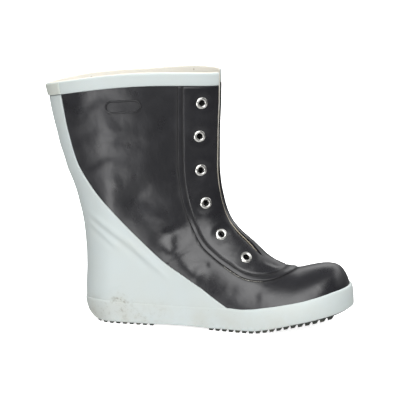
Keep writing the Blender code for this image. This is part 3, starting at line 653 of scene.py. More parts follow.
class Nodes:
    """Short words for building a material's node tree."""

    def __init__(self, name):
        self.material = bpy.data.materials.new(name)
        self.material.use_nodes = True
        self.tree = self.material.node_tree
        self.tree.nodes.clear()
        self.out = self.tree.nodes.new("ShaderNodeOutputMaterial")
        self.shader = self.tree.nodes.new("ShaderNodeBsdfPrincipled")
        self.tree.links.new(self.shader.outputs[0], self.out.inputs["Surface"])
        self.spot = self.tree.nodes.new("ShaderNodeTexCoord").outputs["Object"]

    def add(self, kind, values=(), links=(), **settings):
        node = self.tree.nodes.new("ShaderNode" + kind)
        for key, value in settings.items():
            setattr(node, key, value)
        for key, value in dict(values).items():
            node.inputs[key].default_value = value
        for key, value in dict(links).items():
            self.tree.links.new(value, node.inputs[key])
        return node

    def stretched(self, scale, turn=(0, 0, 0)):
        return self.add("Mapping", {"Scale": scale, "Rotation": turn},
                        {"Vector": self.spot}).outputs[0]

    def marked(self, name):
        return self.add("Attribute", attribute_name=name).outputs["Fac"]

    def noise(self, scale, detail=3.0, rough=0.55, where=None, twist=0.0):
        return self.add("TexNoise", {"Scale": scale, "Detail": detail, "Roughness": rough,
                                     "Distortion": twist},
                        {"Vector": where or self.spot}).outputs["Fac"]

    def cells(self, scale, spread=1.0, where=None):
        return self.add("TexVoronoi", {"Scale": scale, "Randomness": spread},
                        {"Vector": where or self.spot}).outputs["Distance"]

    def span(self, value, lo, hi, to_lo=0.0, to_hi=1.0):
        return self.add("MapRange", {"From Min": lo, "From Max": hi, "To Min": to_lo,
                                     "To Max": to_hi}, {"Value": value}).outputs["Result"]

    def math(self, how, a, b):
        node = self.add("Math", operation=how)
        for socket, value in zip(node.inputs, (a, b)):
            if isinstance(value, (int, float)):
                socket.default_value = value
            else:
                self.tree.links.new(value, socket)
        return node.outputs[0]

    def mix(self, share, a, b):
        node = self.add("Mix", data_type="RGBA")
        for socket, value in ((node.inputs["Factor"], share), (node.inputs[6], a),
                              (node.inputs[7], b)):
            if isinstance(value, bpy.types.NodeSocket):
                self.tree.links.new(value, socket)
            elif isinstance(value, (int, float)):
                socket.default_value = value
            else:
                socket.default_value = (*value[:3], 1)
        return node.outputs[2]

    def along(self, axis):
        return self.add("SeparateXYZ", links={"Vector": self.spot}).outputs[axis]

    def bump(self, height, strength, distance, under=None):
        links = {"Height": height}
        if under is not None:
            links["Normal"] = under
        return self.add("Bump", {"Strength": strength, "Distance": distance}, links).outputs[0]

    def set(self, **values):
        for key, value in values.items():
            socket = self.shader.inputs[key.replace("_", " ").title().replace("Ior", "IOR")]
            if isinstance(value, bpy.types.NodeSocket):
                self.tree.links.new(value, socket)
            elif isinstance(value, (int, float)):
                socket.default_value = value
            else:
                socket.default_value = (*value[:3], 1)
        return self.material


def kept(name, make, colours):
    """Each material is made once and shared."""
    return bpy.data.materials.get(name) or make(Nodes(name), colours)


def black_rubber(n, c):
    """Satin black rubber: fine grain, slow waves in the gloss, some dust and rubbed patches, and
    painted shade in the grooves by the seams.
    """
    grain = n.noise(1500, 2.0)
    waves = n.noise(38, 3.0, 0.5)
    rubbed = n.span(n.noise(16, 4.0, 0.6), 0.50, 0.72)
    streaks = n.span(n.noise(120, 2.0, 0.5, n.stretched((1.0, 1.0, 0.12), (0, 0.5, 0))), 0.60, 0.74)
    dust = n.span(n.noise(420, 5.0, 0.75), 0.58, 0.80)
    low = n.span(n.along("Z"), 0.075, 0.02)
    tint = n.mix(n.math("MULTIPLY", rubbed, 0.5), c.black, c.rubbed)
    tint = n.mix(n.math("MULTIPLY", dust, n.math("ADD", n.math("MULTIPLY", low, 0.10), 0.035)),
                 tint, c.dust)
    rough = n.math("ADD", n.span(waves, 0.3, 0.7, 0.25, 0.33), n.math("MULTIPLY", rubbed, 0.05))
    rough = n.math("ADD", rough, n.math("MULTIPLY", streaks, 0.05))
    # Painted shade: the colour turns near black where the seam mark lies, in the corners and
    # grooves.
    seam = n.marked("seam")
    tint = n.mix(n.math("MULTIPLY", seam, 0.85), tint, c.groove_shade)
    rough = n.math("ADD", rough, n.math("MULTIPLY", seam, 0.45))
    under = n.bump(n.noise(17, 2.0, 0.45), 0.55, 0.0048)
    under = n.bump(waves, 0.40, 0.0016, under)
    under = n.bump(n.noise(150, 3.0, 0.5), 0.16, 0.00035, under)
    return n.set(base_color=tint, roughness=rough, normal=n.bump(grain, 0.12, 0.00005, under),
                 specular_ior_level=0.52)


def white_rubber(n, c):
    """Matt white rubber, with soil toward the floor, specks and faint yellow clouds."""
    high = n.along("Z")
    low = n.span(high, 0.034, 0.004)
    heel = n.span(n.along("X"), -0.055, -0.100)
    grain = n.noise(900, 2.0)
    clouds = n.noise(30, 4.0, 0.6)
    specks = n.span(n.noise(620, 4.0, 0.6), 0.66, 0.73)
    crumbs = n.span(n.cells(330), 0.16, 0.08)
    patch = n.span(n.noise(55, 3.0, 0.6), 0.46, 0.62)
    soil = n.math("MULTIPLY", n.math("MULTIPLY", crumbs, patch), n.math("MULTIPLY", low, 0.6))
    clumps = n.span(n.noise(240, 5.0, 0.7), 0.53, 0.62)
    spots = n.math("MULTIPLY", n.marked("soil"), n.math("MAXIMUM", clumps, crumbs))
    soil = n.math("MAXIMUM", soil, spots)
    soil = n.math("MAXIMUM", soil, n.math("MULTIPLY", n.math("MULTIPLY", specks, low), 0.75))
    grime = n.math("MULTIPLY", n.math("MULTIPLY", n.span(clouds, 0.42, 0.66), low), 0.30)
    warm = n.math("MULTIPLY", n.span(clouds, 0.40, 0.75), 0.30)
    tint = n.mix(warm, c.white, c.white_warm)
    # Darker and browner towards the floor at the back of the heel.
    tint = n.mix(n.math("MULTIPLY", heel, n.math("MULTIPLY", low, 0.30)), tint, c.grime)
    tint = n.mix(grime, tint, c.grime)
    tint = n.mix(n.math("MULTIPLY", n.marked("soil"), 0.30), tint, c.grime)
    tint = n.mix(n.math("MULTIPLY", soil, 0.65), tint, c.soil)
    rough = n.span(clouds, 0.3, 0.7, 0.42, 0.54)
    under = n.bump(n.noise(45, 3.0, 0.5), 0.25, 0.0008)
    return n.set(base_color=tint, roughness=rough, normal=n.bump(grain, 0.10, 0.00005, under),
                 specular_ior_level=0.40)


def grey_rubber(n, c):
    """Grey white rubber with pale clouds, for the tab."""
    clouds = n.noise(120, 4.0, 0.6)
    tint = n.mix(n.span(clouds, 0.35, 0.7), c.tab, c.white_warm)
    return n.set(base_color=tint, roughness=n.span(clouds, 0.3, 0.7, 0.46, 0.6),
                 normal=n.bump(n.noise(900, 2.0), 0.12, 0.00006))


def sole_rubber(n, c):
    """Dark tread rubber with dried soil in its hollows."""
    soil = n.span(n.noise(150, 5.0, 0.65), 0.50, 0.68)
    tint = n.mix(n.math("MULTIPLY", soil, 0.55), c.sole, c.sole_soil)
    ribs = n.add("TexWave", {"Scale": 210.0, "Distortion": 0.4}, {"Vector": n.spot},
                 wave_type="BANDS", bands_direction="Y").outputs["Fac"]
    under = n.bump(ribs, 0.25, 0.0003)
    return n.set(base_color=tint, roughness=n.span(soil, 0, 1, 0.55, 0.85),
                 normal=n.bump(n.noise(800, 3.0), 0.3, 0.0001, under))


def lining_cloth(n, c):
    """Knitted cotton lining: two sets of fine ribs, a little soiled, and darker and browner lower
    down inside the shaft.
    """
    rib = n.add("TexWave", {"Scale": 560.0, "Distortion": 1.2, "Detail": 2.0},
                {"Vector": n.spot}, wave_type="BANDS", bands_direction="Z").outputs["Fac"]
    cross = n.add("TexWave", {"Scale": 480.0, "Distortion": 1.0}, {"Vector": n.spot},
                  wave_type="BANDS", bands_direction="DIAGONAL").outputs["Fac"]
    weave = n.math("MULTIPLY", rib, cross)
    clouds = n.span(n.noise(45, 4.0, 0.6), 0.35, 0.7)
    # The lining turns darker and browner lower down inside the shaft.
    deep = n.span(n.along("Z"), 0.235, 0.10)
    tint = n.mix(n.math("MULTIPLY", clouds, 0.6), c.lining, c.lining_soiled)
    tint = n.mix(n.math("MULTIPLY", deep, 0.7), tint, c.lining_soiled)
    return n.set(base_color=tint, roughness=0.92, normal=n.bump(weave, 0.5, 0.00025),
                 specular_ior_level=0.15)


def tape_cloth(n, c):
    """Cream woven tape with a row of small brown stitch marks."""
    weave = n.add("TexWave", {"Scale": 420.0, "Distortion": 0.6}, {"Vector": n.spot},
                  wave_type="BANDS", bands_direction="X").outputs["Fac"]
    spots = n.span(n.cells(85, 0.7), 0.13, 0.07)
    clouds = n.span(n.noise(60, 4.0, 0.6), 0.40, 0.7)
    tint = n.mix(n.math("MULTIPLY", clouds, 0.5), c.tape, c.lining)
    tint = n.mix(n.math("MULTIPLY", spots, 0.55), tint, c.stain)
    return n.set(base_color=tint, roughness=0.9, normal=n.bump(weave, 0.35, 0.0002),
                 specular_ior_level=0.15)


def felt(n, c):
    """Tan felt with tangled fibres and worn patches."""
    fibres = n.noise(700, 6.0, 0.7, None, 1.5)
    worn = n.span(n.noise(26, 4.0, 0.6), 0.4, 0.7)
    tint = n.mix(n.math("MULTIPLY", worn, 0.7), c.felt, c.lining_soiled)
    return n.set(base_color=tint, roughness=0.95, normal=n.bump(fibres, 0.6, 0.0004),
                 specular_ior_level=0.1)


def nickel(n, c):
    """Bright nickel with fine scratches and a little tarnish."""
    dull = n.span(n.noise(300, 4.0, 0.6), 0.45, 0.7)
    tint = n.mix(n.math("MULTIPLY", dull, 0.35), c.nickel, c.tarnish)
    lines = n.noise(2200, 2.0, 0.5, n.stretched((1, 1, 0.2), (0.3, 0.4, 0)))
    return n.set(base_color=tint, metallic=1.0, roughness=n.span(dull, 0, 1, 0.20, 0.34),
                 normal=n.bump(lines, 0.05, 0.00003))


def seam_chalk(n, c):
    """Chalky crumbs with black rubber between them."""
    crumbs = n.span(n.noise(1300, 5.0, 0.7), 0.40, 0.62)
    tint = n.mix(crumbs, c.black, c.chalk)
    return n.set(base_color=tint, roughness=0.9, normal=n.bump(n.noise(1800, 3.0), 0.6, 0.0002))


def length_of(default, words):
    return FloatProperty(name=words, description=words, default=default, min=0.0,
                         subtype="DISTANCE", unit="LENGTH", precision=4)


def colour_of(default, words):
    return FloatVectorProperty(name=words, description=words, default=default, size=3,
                               min=0.0, max=1.0, subtype="COLOR")


class BootSizes(bpy.types.PropertyGroup):
    """The boot's sizes."""
    length: length_of(0.285, "Length of the form")
    height: length_of(0.264, "Height of the collar")
    ball: length_of(0.100, "Width across the ball")
    wall: length_of(0.0024, "Wall with its lining")
    lining: length_of(0.0009, "Lining")
    gap: length_of(0.0003, "Room between sheets")
    layer: length_of(0.0011, "Sheets over the upper")
    border: length_of(0.0006, "Step down to the facing's border")
    border_width: length_of(0.0052, "Width of the facing's border")
    strip_heel: length_of(0.0019, "Strip round the sole at the heel")
    strip_toe: length_of(0.0021, "Strip round the sole at the toe")
    lug: length_of(0.0030, "Height of the tread bars")
    plate: length_of(0.0050, "Sole over the bars")
    insole: length_of(0.0040, "Insole")
    band: length_of(0.0135, "Height of the collar band")
    tab: length_of(0.0215, "Half length of the tab behind the collar")
    gusset: length_of(0.0016, "Gusset")
    eyelet_flange: length_of(0.0064, "Radius of the eyelets")
    eyelet_hole: length_of(0.0030, "Radius of the eyelets' holes")
    badge_half: length_of(0.0191, "Half length of the frame on the shaft")
    badge_radius: length_of(0.0068, "Half height of the frame on the shaft")


class BootColours(bpy.types.PropertyGroup):
    """The boot's colours."""
    black: colour_of((0.0080, 0.0080, 0.0102), "Black rubber")
    rubbed: colour_of((0.019, 0.019, 0.023), "Rubbed black rubber")
    # Painted shade for the grooves beside the seams and round the frame on the shaft
    groove_shade: colour_of((0.003, 0.003, 0.0035), "Grooves beside the seams")
    dust: colour_of((0.30, 0.29, 0.27), "Dust")
    white: colour_of((0.448, 0.494, 0.492), "White rubber")
    white_warm: colour_of((0.465, 0.480, 0.435), "Yellowed white rubber")
    grime: colour_of((0.36, 0.33, 0.26), "Grime near the floor")
    soil: colour_of((0.13, 0.11, 0.075), "Crumbs of soil")
    tab: colour_of((0.435, 0.465, 0.43), "Tab behind the collar")
    sole: colour_of((0.020, 0.023, 0.019), "Tread")
    sole_soil: colour_of((0.13, 0.12, 0.085), "Soil in the tread")
    lining: colour_of((0.67, 0.665, 0.62), "Lining")
    lining_soiled: colour_of((0.42, 0.36, 0.26), "Soiled lining")
    tape: colour_of((0.72, 0.685, 0.61), "Tape inside the collar")
    stain: colour_of((0.20, 0.13, 0.07), "Brown stains on the tape")
    felt: colour_of((0.55, 0.47, 0.33), "Insole")
    nickel: colour_of((0.66, 0.655, 0.63), "Eyelets")
    tarnish: colour_of((0.50, 0.49, 0.46), "Tarnish on the eyelets")
    chalk: colour_of((0.55, 0.53, 0.47), "Chalky dust in the seam")
    floor: colour_of((0.93, 0.93, 0.93), "Floor")


class BootStage(bpy.types.PropertyGroup):
    """The camera and the lights."""
    azimuth: FloatProperty(name="Azimuth", description="Camera's turn round the boot",
                           default=radians(12.0), subtype="ANGLE", unit="ROTATION")
    elevation: FloatProperty(name="Elevation", description="Camera's height angle",
                             default=radians(10.5), subtype="ANGLE", unit="ROTATION")
    roll: FloatProperty(name="Roll", description="Camera's turn round its own line of sight",
                        default=radians(0.3), subtype="ANGLE", unit="ROTATION")
    distance: length_of(2.3, "Camera's distance")
    lens: FloatProperty(name="Lens", description="Focal length in mm on a 36 mm frame",
                        default=198.7, min=10.0)
    sky: FloatProperty(name="Sky", description="Strength of the white ceiling",
                       default=0.15, min=0.0)
    floor_light: FloatProperty(name="Floor light", description="Strength of the light from below",
                               default=0.7, min=0.0)
    back: FloatProperty(name="Back wall", description="Strength of the pale wall behind",
                        default=1.7, min=0.0)
    dim: FloatProperty(name="Dim band", description="Strength of the light from everywhere",
                       default=0.20, min=0.0)
    window: FloatProperty(name="Window", description="Strength of the window at the front left",
                          default=5.4, min=0.0)
    high_window: FloatProperty(name="High window", description="Strength of the tall window ahead",
                               default=5.4, min=0.0)
    glow: FloatProperty(name="Floor glow", description="Light that the pale floor gives back",
                        default=0.85, min=0.0)
    top: FloatProperty(name="Top light", description="Watts of the soft box overhead",
                       default=38.0, min=0.0)
    front: FloatProperty(name="Front light", description="Watts of the soft box at the front left",
                         default=5.0, min=0.0)
    fill: FloatProperty(name="Fill light", description="Watts of the weak soft box at the right",
                        default=8.0, min=0.0)


class PieceOperator:
    """What the piece operators share."""
    bl_options = {"REGISTER", "UNDO"}

    def execute(self, context):
        scene = context.scene
        self.build(the_form(scene.boot_sizes), scene.boot_sizes, scene.boot_colours)
        return {"FINISHED"}


class BOOT_OT_upper(PieceOperator, bpy.types.Operator):
    """Rubber upper with its creases, and the lining inside it"""
    bl_idname = "boot.upper"
    bl_label = "Upper and lining"

    def build(self, form, s, c):
        holes = eyelet_holes(form, s)
        self.sizes = s
        depth = s.wall - s.lining - 0.0001
        rubber = thick_sheet("upper_rubber", self.sides(form, 196, 96, 0.0, 0.0002), depth,
                             kept("satin_black", black_rubber, c), holes)
        mark(rubber, "seam", by_seam_shade(form, s))
        settle(rubber, "black_rubber", "upper")
        lining = thick_sheet("upper_lining", self.sides(form, 130, 56, s.lining - s.wall, -0.0022),
                             s.lining, kept("knit_lining", lining_cloth, c), holes)
        settle(lining, "insole_felt")

    def sides(self, form, rows, columns, out, inset):
        places = form.places(rows, 0.02)
        fx, fz = form.ends(places)[:2]
        places = places[fz > feather(form, fx, self.sizes)]
        low = form.first_turn(places, lambda x, z, w: z - feather(form, x, self.sizes))
        share = np.linspace(0, 1, columns)
        grids = []
        high = form.ends(places)[1] / form.height
        for side in (-1, 1):
            shown = smooth((high - 0.50) / 0.08)
            shown = shown + (side < 0) * 0.7 * np.exp(-((high - 0.43) / 0.03) ** 2)
            first = form.lip(places, side, inset * shown + 0.0002)
            turn = side * (first[:, None] + (low - first)[:, None] * share[None, :])
            grids.append(form.skin(places[:, None], turn, np.full(turn.shape, out)))
        return grids


def spread_rows(form, rows, columns, fine, top_drop):
    """Places and turns of a sheet's points: its rows start on the band's lower line."""
    place = np.repeat(rows[:, None], len(columns), axis=1)
    turn = np.stack([np.interp(rows, fine, column) for column in columns], axis=1)
    fade = np.clip((PULL_END - rows) / (PULL_END - BAND_LINE), 0, 1)[:, None]
    for _ in range(3):
        top = form.under_collar(turn, np.full(turn.shape, top_drop))
        place = rows[:, None] + (top - BAND_LINE) * fade
        turn = np.stack([np.interp(place[:, j], fine, column)
                         for j, column in enumerate(columns)], axis=1)
    return place, turn, (place - top) * SECTION_HIGH


class BOOT_OT_heel_sheet(PieceOperator, bpy.types.Operator):
    """White sheet round the heel and up the back of the shaft"""
    bl_idname = "boot.heel_sheet"
    bl_label = "Heel sheet"

    def build(self, form, s, c):
        fine = np.linspace(0.3, 16, 640)

        def ahead(x, z):
            far, side, _ = to_line(form.heel_edge, x, z)
            return far * side

        def under(x, z, w):
            return z - read(STRIP_TOP, x / form.length) * form.height + 4 * MM

        turns = np.linspace(0, pi, 241)
        x, z, _ = form.spread(fine[:, None], turns[None, :])
        reach = ahead(x, z)
        sign = 1.0 if reach[10, 0] > 0 else -1.0
        steps = [0.0, 0.12, 0.40, 0.80, 1.3, 3.0]
        edges = [form.first_turn(fine, lambda x, z, w, k=k: sign * ahead(x, z) + k * MM)
                 for k in steps]
        low = form.first_turn(fine, under)
        low = np.where(form.ends(fine)[3] > 0.10 * form.height, pi, low)
        edges = [np.minimum(e, low) for e in edges]
        rest = [edges[-1] + (low - edges[-1]) * t for t in np.linspace(0, 1, 66)[1:]]
        columns = edges + rest
        open_rows = fine[edges[0] < low - 1e-4]
        rows = form.places(150, 0.5, float(open_rows[-1]))
        rows = np.concatenate([[0.5, 0.5045, 0.514, 0.530], rows[rows > 0.545]])
        place, turn, top = spread_rows(form, rows, columns, fine, s.band + 0.1 * MM)
        x, z, _ = form.spread(place, turn)
        edge = -sign * ahead(x, z)
        full = s.gap + s.layer
        out = full * rolled(np.minimum(edge, top), 0.8 * MM) - 0.12 * MM
        grids = [form.skin(place, turn * side, out) for side in (-1, 1)]
        piece = thick_sheet("heel_sheet", grids, 0.0007, kept("matt_white", white_rubber, c))
        mark(piece, "soil", by_soil(form))
        settle(piece, "white_rubber", "heel_panel")


class BOOT_OT_collar(PieceOperator, bpy.types.Operator):
    """White band rolled over the collar, and the tab behind it"""
    bl_idname = "boot.collar"
    bl_label = "Collar band and tab"

    # Out from the form and down from the collar line, in mm, from the outer lower edge round
    PROFILE = ((-0.20, 13.5), (0.45, 13.5), (0.95, 13.3), (1.28, 12.9), (1.40, 12.2), (1.40, 8.0),
               (1.40, 4.0), (1.40, 1.9), (1.28, 1.1), (0.90, 0.45), (0.30, 0.12), (-0.3, 0.10),
               (-0.9, 0.25), (-1.3, 0.70), (-1.3, 2.0), (-0.6, 2.4))
    TAPE = ((-1.45, 2.2), (-1.40, 0.40), (-1.55, -0.15), (-1.85, -0.42), (-2.20, -0.45),
            (-2.50, -0.20), (-2.68, 0.40), (-2.75, 2.0), (-2.78, 5.0), (-2.74, 8.6),
            (-2.60, 9.0), (-2.45, 8.8), (-2.45, 4.0))

    def build(self, form, s, c):
        first = form.lip(np.array([0.25]), 1)[0]
        edge = first + np.array([0, 0.004, 0.011, 0.02])
        half = np.concatenate([edge, np.linspace(edge[-1], pi, 110)[1:]])
        round_ = np.concatenate([-half, half[::-1][1:]])
        roll = rolled(np.concatenate([np.arange(4) / 3, np.ones(len(round_) - 8),
                                      np.arange(4)[::-1] / 3]), 1.0)
        band = self.wrapped("collar_binding", form, s, self.PROFILE, round_, roll,
                            kept("matt_white", white_rubber, c))
        settle(band, "white_rubber", "collar_band")
        tape = self.wrapped("collar_tape", form, s, self.TAPE, round_, roll,
                            kept("cloth_tape", tape_cloth, c))
        settle(tape, "insole_felt")
        self.build_tab(form, s, c)

    def wrapped(self, name, form, s, profile, round_, roll, material):
        """A strip that follows the collar, its section given by a profile."""
        rings = []
        for turn, full in zip(round_, roll):
            outs = np.array([p[0] for p in profile]) * MM
            drops = np.array([p[1] for p in profile]) * s.band / 13.5
            outs = np.where(outs > 0, outs * (0.35 + 0.65 * full), outs)
            turns = np.full(len(outs), turn)
            place = form.under_collar(turns, np.maximum(drops, 0))
            ring = form.skin(place, turns, outs)
            ring[:, 2] += np.maximum(-drops, 0)
            rings.append(ring)
        rings = np.array(rings)
        n, m = rings.shape[:2]
        faces = grid_faces(n, m, loop_columns=True)
        faces += [tuple(range(m)), tuple((n - 1) * m + j for j in reversed(range(m)))]
        return mesh_piece(name, rings.reshape(-1, 3), faces, material, 75)

    def build_tab(self, form, s, c):
        end = float(form.ends(np.zeros(1))[2][0]) + s.tab
        drops = np.concatenate([[0.5, 0.6, 0.9, 1.4], np.linspace(2.2, 11.6, 10),
                                [12.2, 12.6, 12.85, 12.95]]) * MM
        start = form.first_turn(np.linspace(0, 1.2, 60), lambda x, z, w: x - end)[20]
        steps = np.concatenate([[0, 0.1, 0.3, 0.7], np.linspace(1.4, 40, 24)])
        turns = start + (pi - start) * np.minimum(1.0, steps / steps[-1])
        turn = np.repeat(turns[None, :], len(drops), axis=0)
        drop = np.repeat(drops[:, None], len(turns), axis=1)
        place = form.under_collar(turn, drop)
        near = np.minimum(np.minimum(drop - drops[0], drops[-1] - drop),
                          steps[None, :] * MM * 0.5)
        out = (1.3 + 1.25 * rolled(near, 0.7 * MM)) * MM
        grids = [form.skin(place, turn * side, out) for side in (-1, 1)]
        tab = thick_sheet("collar_tab_sheet", grids, 0.0008, kept("matt_grey", grey_rubber, c))
        settle(tab, "grey_rubber", "collar_tab")


class BOOT_OT_facing(PieceOperator, bpy.types.Operator):
    """Black eyelet facing with its lower border and its tip on the vamp, and the seam's dust"""
    bl_idname = "boot.facing"
    bl_label = "Eyelet facing"

    def build(self, form, s, c):
        fine = np.linspace(0.3, 17, 700)

        def inside(x, z):
            far, side, _ = to_line(form.facing_edge, x, z)
            return far * side

        x, z, _ = form.spread(np.array([3.0]), 0.0)
        sign = 1.0 if inside(x, z)[0] > 0 else -1.0
        wide = s.border_width / MM
        steps = [0.0, 0.12, 0.40, 0.85, 1.5, 3.2, wide - 0.9, wide - 0.35, wide, wide + 0.4,
                 wide + 0.9, wide + 2.2]
        edges = [form.first_turn(fine, lambda x, z, w, k=k: sign * inside(x, z) - k * MM)
                 for k in steps]
        columns = {}
        for side in (-1, 1):
            lips = [form.lip(fine, side, k * MM) for k in (0.0, 0.15, 0.45, 0.9, 1.6)]
            ends = [np.maximum(e, lips[-1]) if i else np.maximum(e, lips[0])
                    for i, e in enumerate(edges)]
            rest = [lips[-1] + (ends[-1] - lips[-1]) * t for t in np.linspace(0, 1, 34)[1:-1]]
            columns[side] = lips + rest + ends[::-1]
        x0, z0, _ = form.spread(fine, np.zeros(1))
        front = sign * inside(x0, z0)
        tip = float(fine[np.nonzero((front < 0) & (fine > 12))[0][0]])
        rows = form.places(170, 0.5, tip)
        rows = np.concatenate([[0.5, 0.5045, 0.514, 0.530], rows[rows > 0.545]])
        grids = []
        for side in (-1, 1):
            out, place, turn = self.raised(form, s, rows, columns[side], fine, side,
                                           lambda x, z: sign * inside(x, z))
            grids.append(form.skin(place, turn * side, out))
        piece = thick_sheet("facing_sheet", grids, 0.0008, kept("satin_black", black_rubber, c),
                            eyelet_holes(form, s))
        mark(piece, "seam", by_seam_shade(form, s))
        settle(piece, "black_rubber", "facing")
        settle(self.seam_dust(form, s, c), "black_rubber")

    def raised(self, form, s, rows, columns, fine, side, edge_of):
        """How far each point of one side's sheet stands out, with its place and turn."""
        place, turn, top = spread_rows(form, rows, columns, fine, s.band + 0.1 * MM)
        x, z, w = form.spread(place, turn)
        edge = edge_of(x, z)
        high = form.ends(place)[1] / form.height
        gap = read(THROAT, high) * form.ball
        aside = read(THROAT, high, 2) * form.ball * -side
        lip = np.where(gap > 0, np.sign(turn + 1e-9) * w - gap - aside, 9.0)
        out = (s.gap + s.layer) * rolled(np.minimum(np.minimum(edge, top), lip), 0.85 * MM)
        inner = smooth((edge - s.border_width) / (1.0 * MM) + 0.5)
        out = out + s.border * inner * rolled(np.minimum(top, lip), 1.2 * MM) - 0.12 * MM
        out = out - 0.80 * MM * np.exp(-((edge - s.border_width) / (0.65 * MM)) ** 2)
        return out, place, turn

    def seam_dust(self, form, s, c):
        """A crumbly thread of dust in the corner under the facing's edge, on the outer side."""
        line = form.facing_edge
        _, _, share = to_line(line, *form.metres(((0.545, 0.258), (0.690, 0.204))).T)
        run = np.concatenate([[0], np.cumsum(np.hypot(*np.diff(line, axis=0).T))])
        run /= run[-1]
        count, steps = 90, 8
        last = count - 1
        at = np.linspace(share[0], share[1], count)
        x, z = np.interp(at, run, line[:, 0]), np.interp(at, run, line[:, 1])
        rings = []
        points = [form.at_side(a, b, -1, 0.0005) for a, b in zip(x - 0.0002, z - 0.0004)]
        for i, (p, look) in enumerate(points):
            way = (points[min(i + 1, last)][0] - points[max(i - 1, 0)][0]).normalized()
            over = look.cross(way).normalized()
            taper = min(1.0, i / 10, (last - i) / 10)
            size = (0.08 + 0.20 * taper * (0.75 + 0.25 * sin(i * 2.1) * cos(i * 0.73))) * MM
            around = [2 * pi * k / steps for k in range(steps)]
            rings.append([p + (over * cos(a) + look * sin(a)) * size for a in around])
        faces = grid_faces(count, steps, loop_columns=True)
        faces += [tuple(range(steps)), tuple(last * steps + k for k in reversed(range(steps)))]
        return mesh_piece("seam_dust", [p for r in rings for p in r], faces,
                          kept("chalk_dust", seam_chalk, c))


class BOOT_OT_sole_strip(PieceOperator, bpy.types.Operator):
    """White strip round the sole"""
    bl_idname = "boot.sole_strip"
    bl_label = "Strip round the sole"

    # From which edge (0 lower, 1 upper, else a share of the height), mm from it, share of thickness
    PROFILE = ((0, 0.0, -0.60), (0, 0.0, 0.35), (0, 0.10, 0.70), (0, 0.40, 0.93), (0, 1.0, 1.0),
               (0.14, 0, 1.0), (0.28, 0, 1.0), (0.42, 0, 1.01), (0.56, 0, 1.01), (0.70, 0, 1.0),
               (0.82, 0, 1.0), (1, 2.2, 0.98), (1, 1.3, 0.92), (1, 0.7, 0.80), (1, 0.3, 0.58),
               (1, 0.05, 0.30), (1, 0.0, -0.15), (1, 2.5, -0.30), (0, 2.5, -0.45))

    def build(self, form, s, c):
        heel = 0.0135 * form.length + 0.36 * form.ball
        toe = TOE_TIP * form.length - 0.46 * form.ball
        lean = float((form.middle(toe, 0.0) - form.middle(toe - 0.02, 0.0)) / 0.02)

        def straight(x, side):
            t = (x - heel) / (toe - heel)
            return x, side * pi / 2 + lean * smooth((t - 0.5) * 2)

        stations = [straight(x, -1) for x in np.linspace(heel, toe, 118)]
        stations += [(toe, a + lean) for a in np.linspace(-pi / 2, pi / 2, 84)[1:-1]]
        stations += [straight(x, 1) for x in np.linspace(toe, heel, 118)]
        stations += [(heel, a) for a in np.linspace(pi / 2, 3 * pi / 2, 70)[1:-1]]
        rings = []
        for x, a in stations:
            way = Vector((cos(a), sin(a), 0))
            spine = Vector((x + SHIFT[0], float(form.middle(x, 0.0)) + SHIFT[1], 0))

            def cast(z):
                start = spine + way * 0.10
                return form.drop_on((start.x, start.y, z + SHIFT[2]), -way)
            mid, _ = cast(0.062 * form.height)
            at = mid.x - SHIFT[0]
            near = at / form.length
            low = float(ground(form, at)) + s.lug - 0.0006
            low += float(0.8 * MM * smooth((near - 0.46) * 9)
                         + 1.3 * MM * smooth((near - 0.68) * 3.6))
            wave = 0.00012 * sin(at * 420) * float(np.exp(-((near - 0.56) / 0.09) ** 2))
            high = float(read(STRIP_TOP, near)) * form.height + wave
            thick = s.gap + s.strip_heel + (s.strip_toe - s.strip_heel) * float(
                smooth((near - 0.45) / 0.25))
            ring = []
            flat = float(smooth((near - 0.10) / 0.22) * (1 - smooth((near - 0.50) / 0.10)))
            for edge, mm, share in self.PROFILE:
                if edge and share > 0.1:
                    share -= 0.26 * flat * float(smooth((edge - 0.35) / 0.65))
                z = low + mm * MM if edge == 0 else low + (high - low) * edge
                if edge == 1:
                    z = high - mm * MM
                p, look = cast(z)
                ring.append(p + look * thick * share)
            rings.append(ring)
        n, m = len(rings), len(rings[0])
        piece = mesh_piece("sole_strip_sheet", [p for r in rings for p in r],
                           grid_faces(n, m, loop_rows=True, loop_columns=True),
                           kept("matt_white", white_rubber, c), 70)
        mark(piece, "soil", by_soil(form))
        settle(piece, "white_rubber", "foxing")


def outline(form, z_of, inset, count=150):
    """The foot's outline near the floor, moved in, with its spine: closed, from the heel round."""
    turn = np.linspace(0, pi, count)
    lo = float(read(BACK, 0.03)) * form.length + 0.2 * MM
    hi = TOE_TIP * form.length - 0.05 * MM
    x = lo + (hi - lo) * (1 - np.cos(turn)) / 2
    z = z_of(x)
    w, mid = form.half_width(x, z), form.middle(x, z)
    half = np.stack([x, mid - w, z], axis=-1)
    back = np.stack([x, mid + w, z], axis=-1)[::-1]
    ring = np.concatenate([half, back[1:-1]])
    way = np.roll(ring, -1, axis=0) - np.roll(ring, 1, axis=0)
    way[:, 2] = 0
    way /= np.linalg.norm(way, axis=1, keepdims=True)
    ring = ring + np.stack([-way[:, 1], way[:, 0], 0 * way[:, 0]], axis=-1) * inset
    middle_x = np.clip(ring[:, 0], lo + 0.034, hi - 0.044)
    spine = np.stack([middle_x, form.middle(middle_x, 0 * middle_x), 0 * middle_x], axis=-1)
    return ring, spine


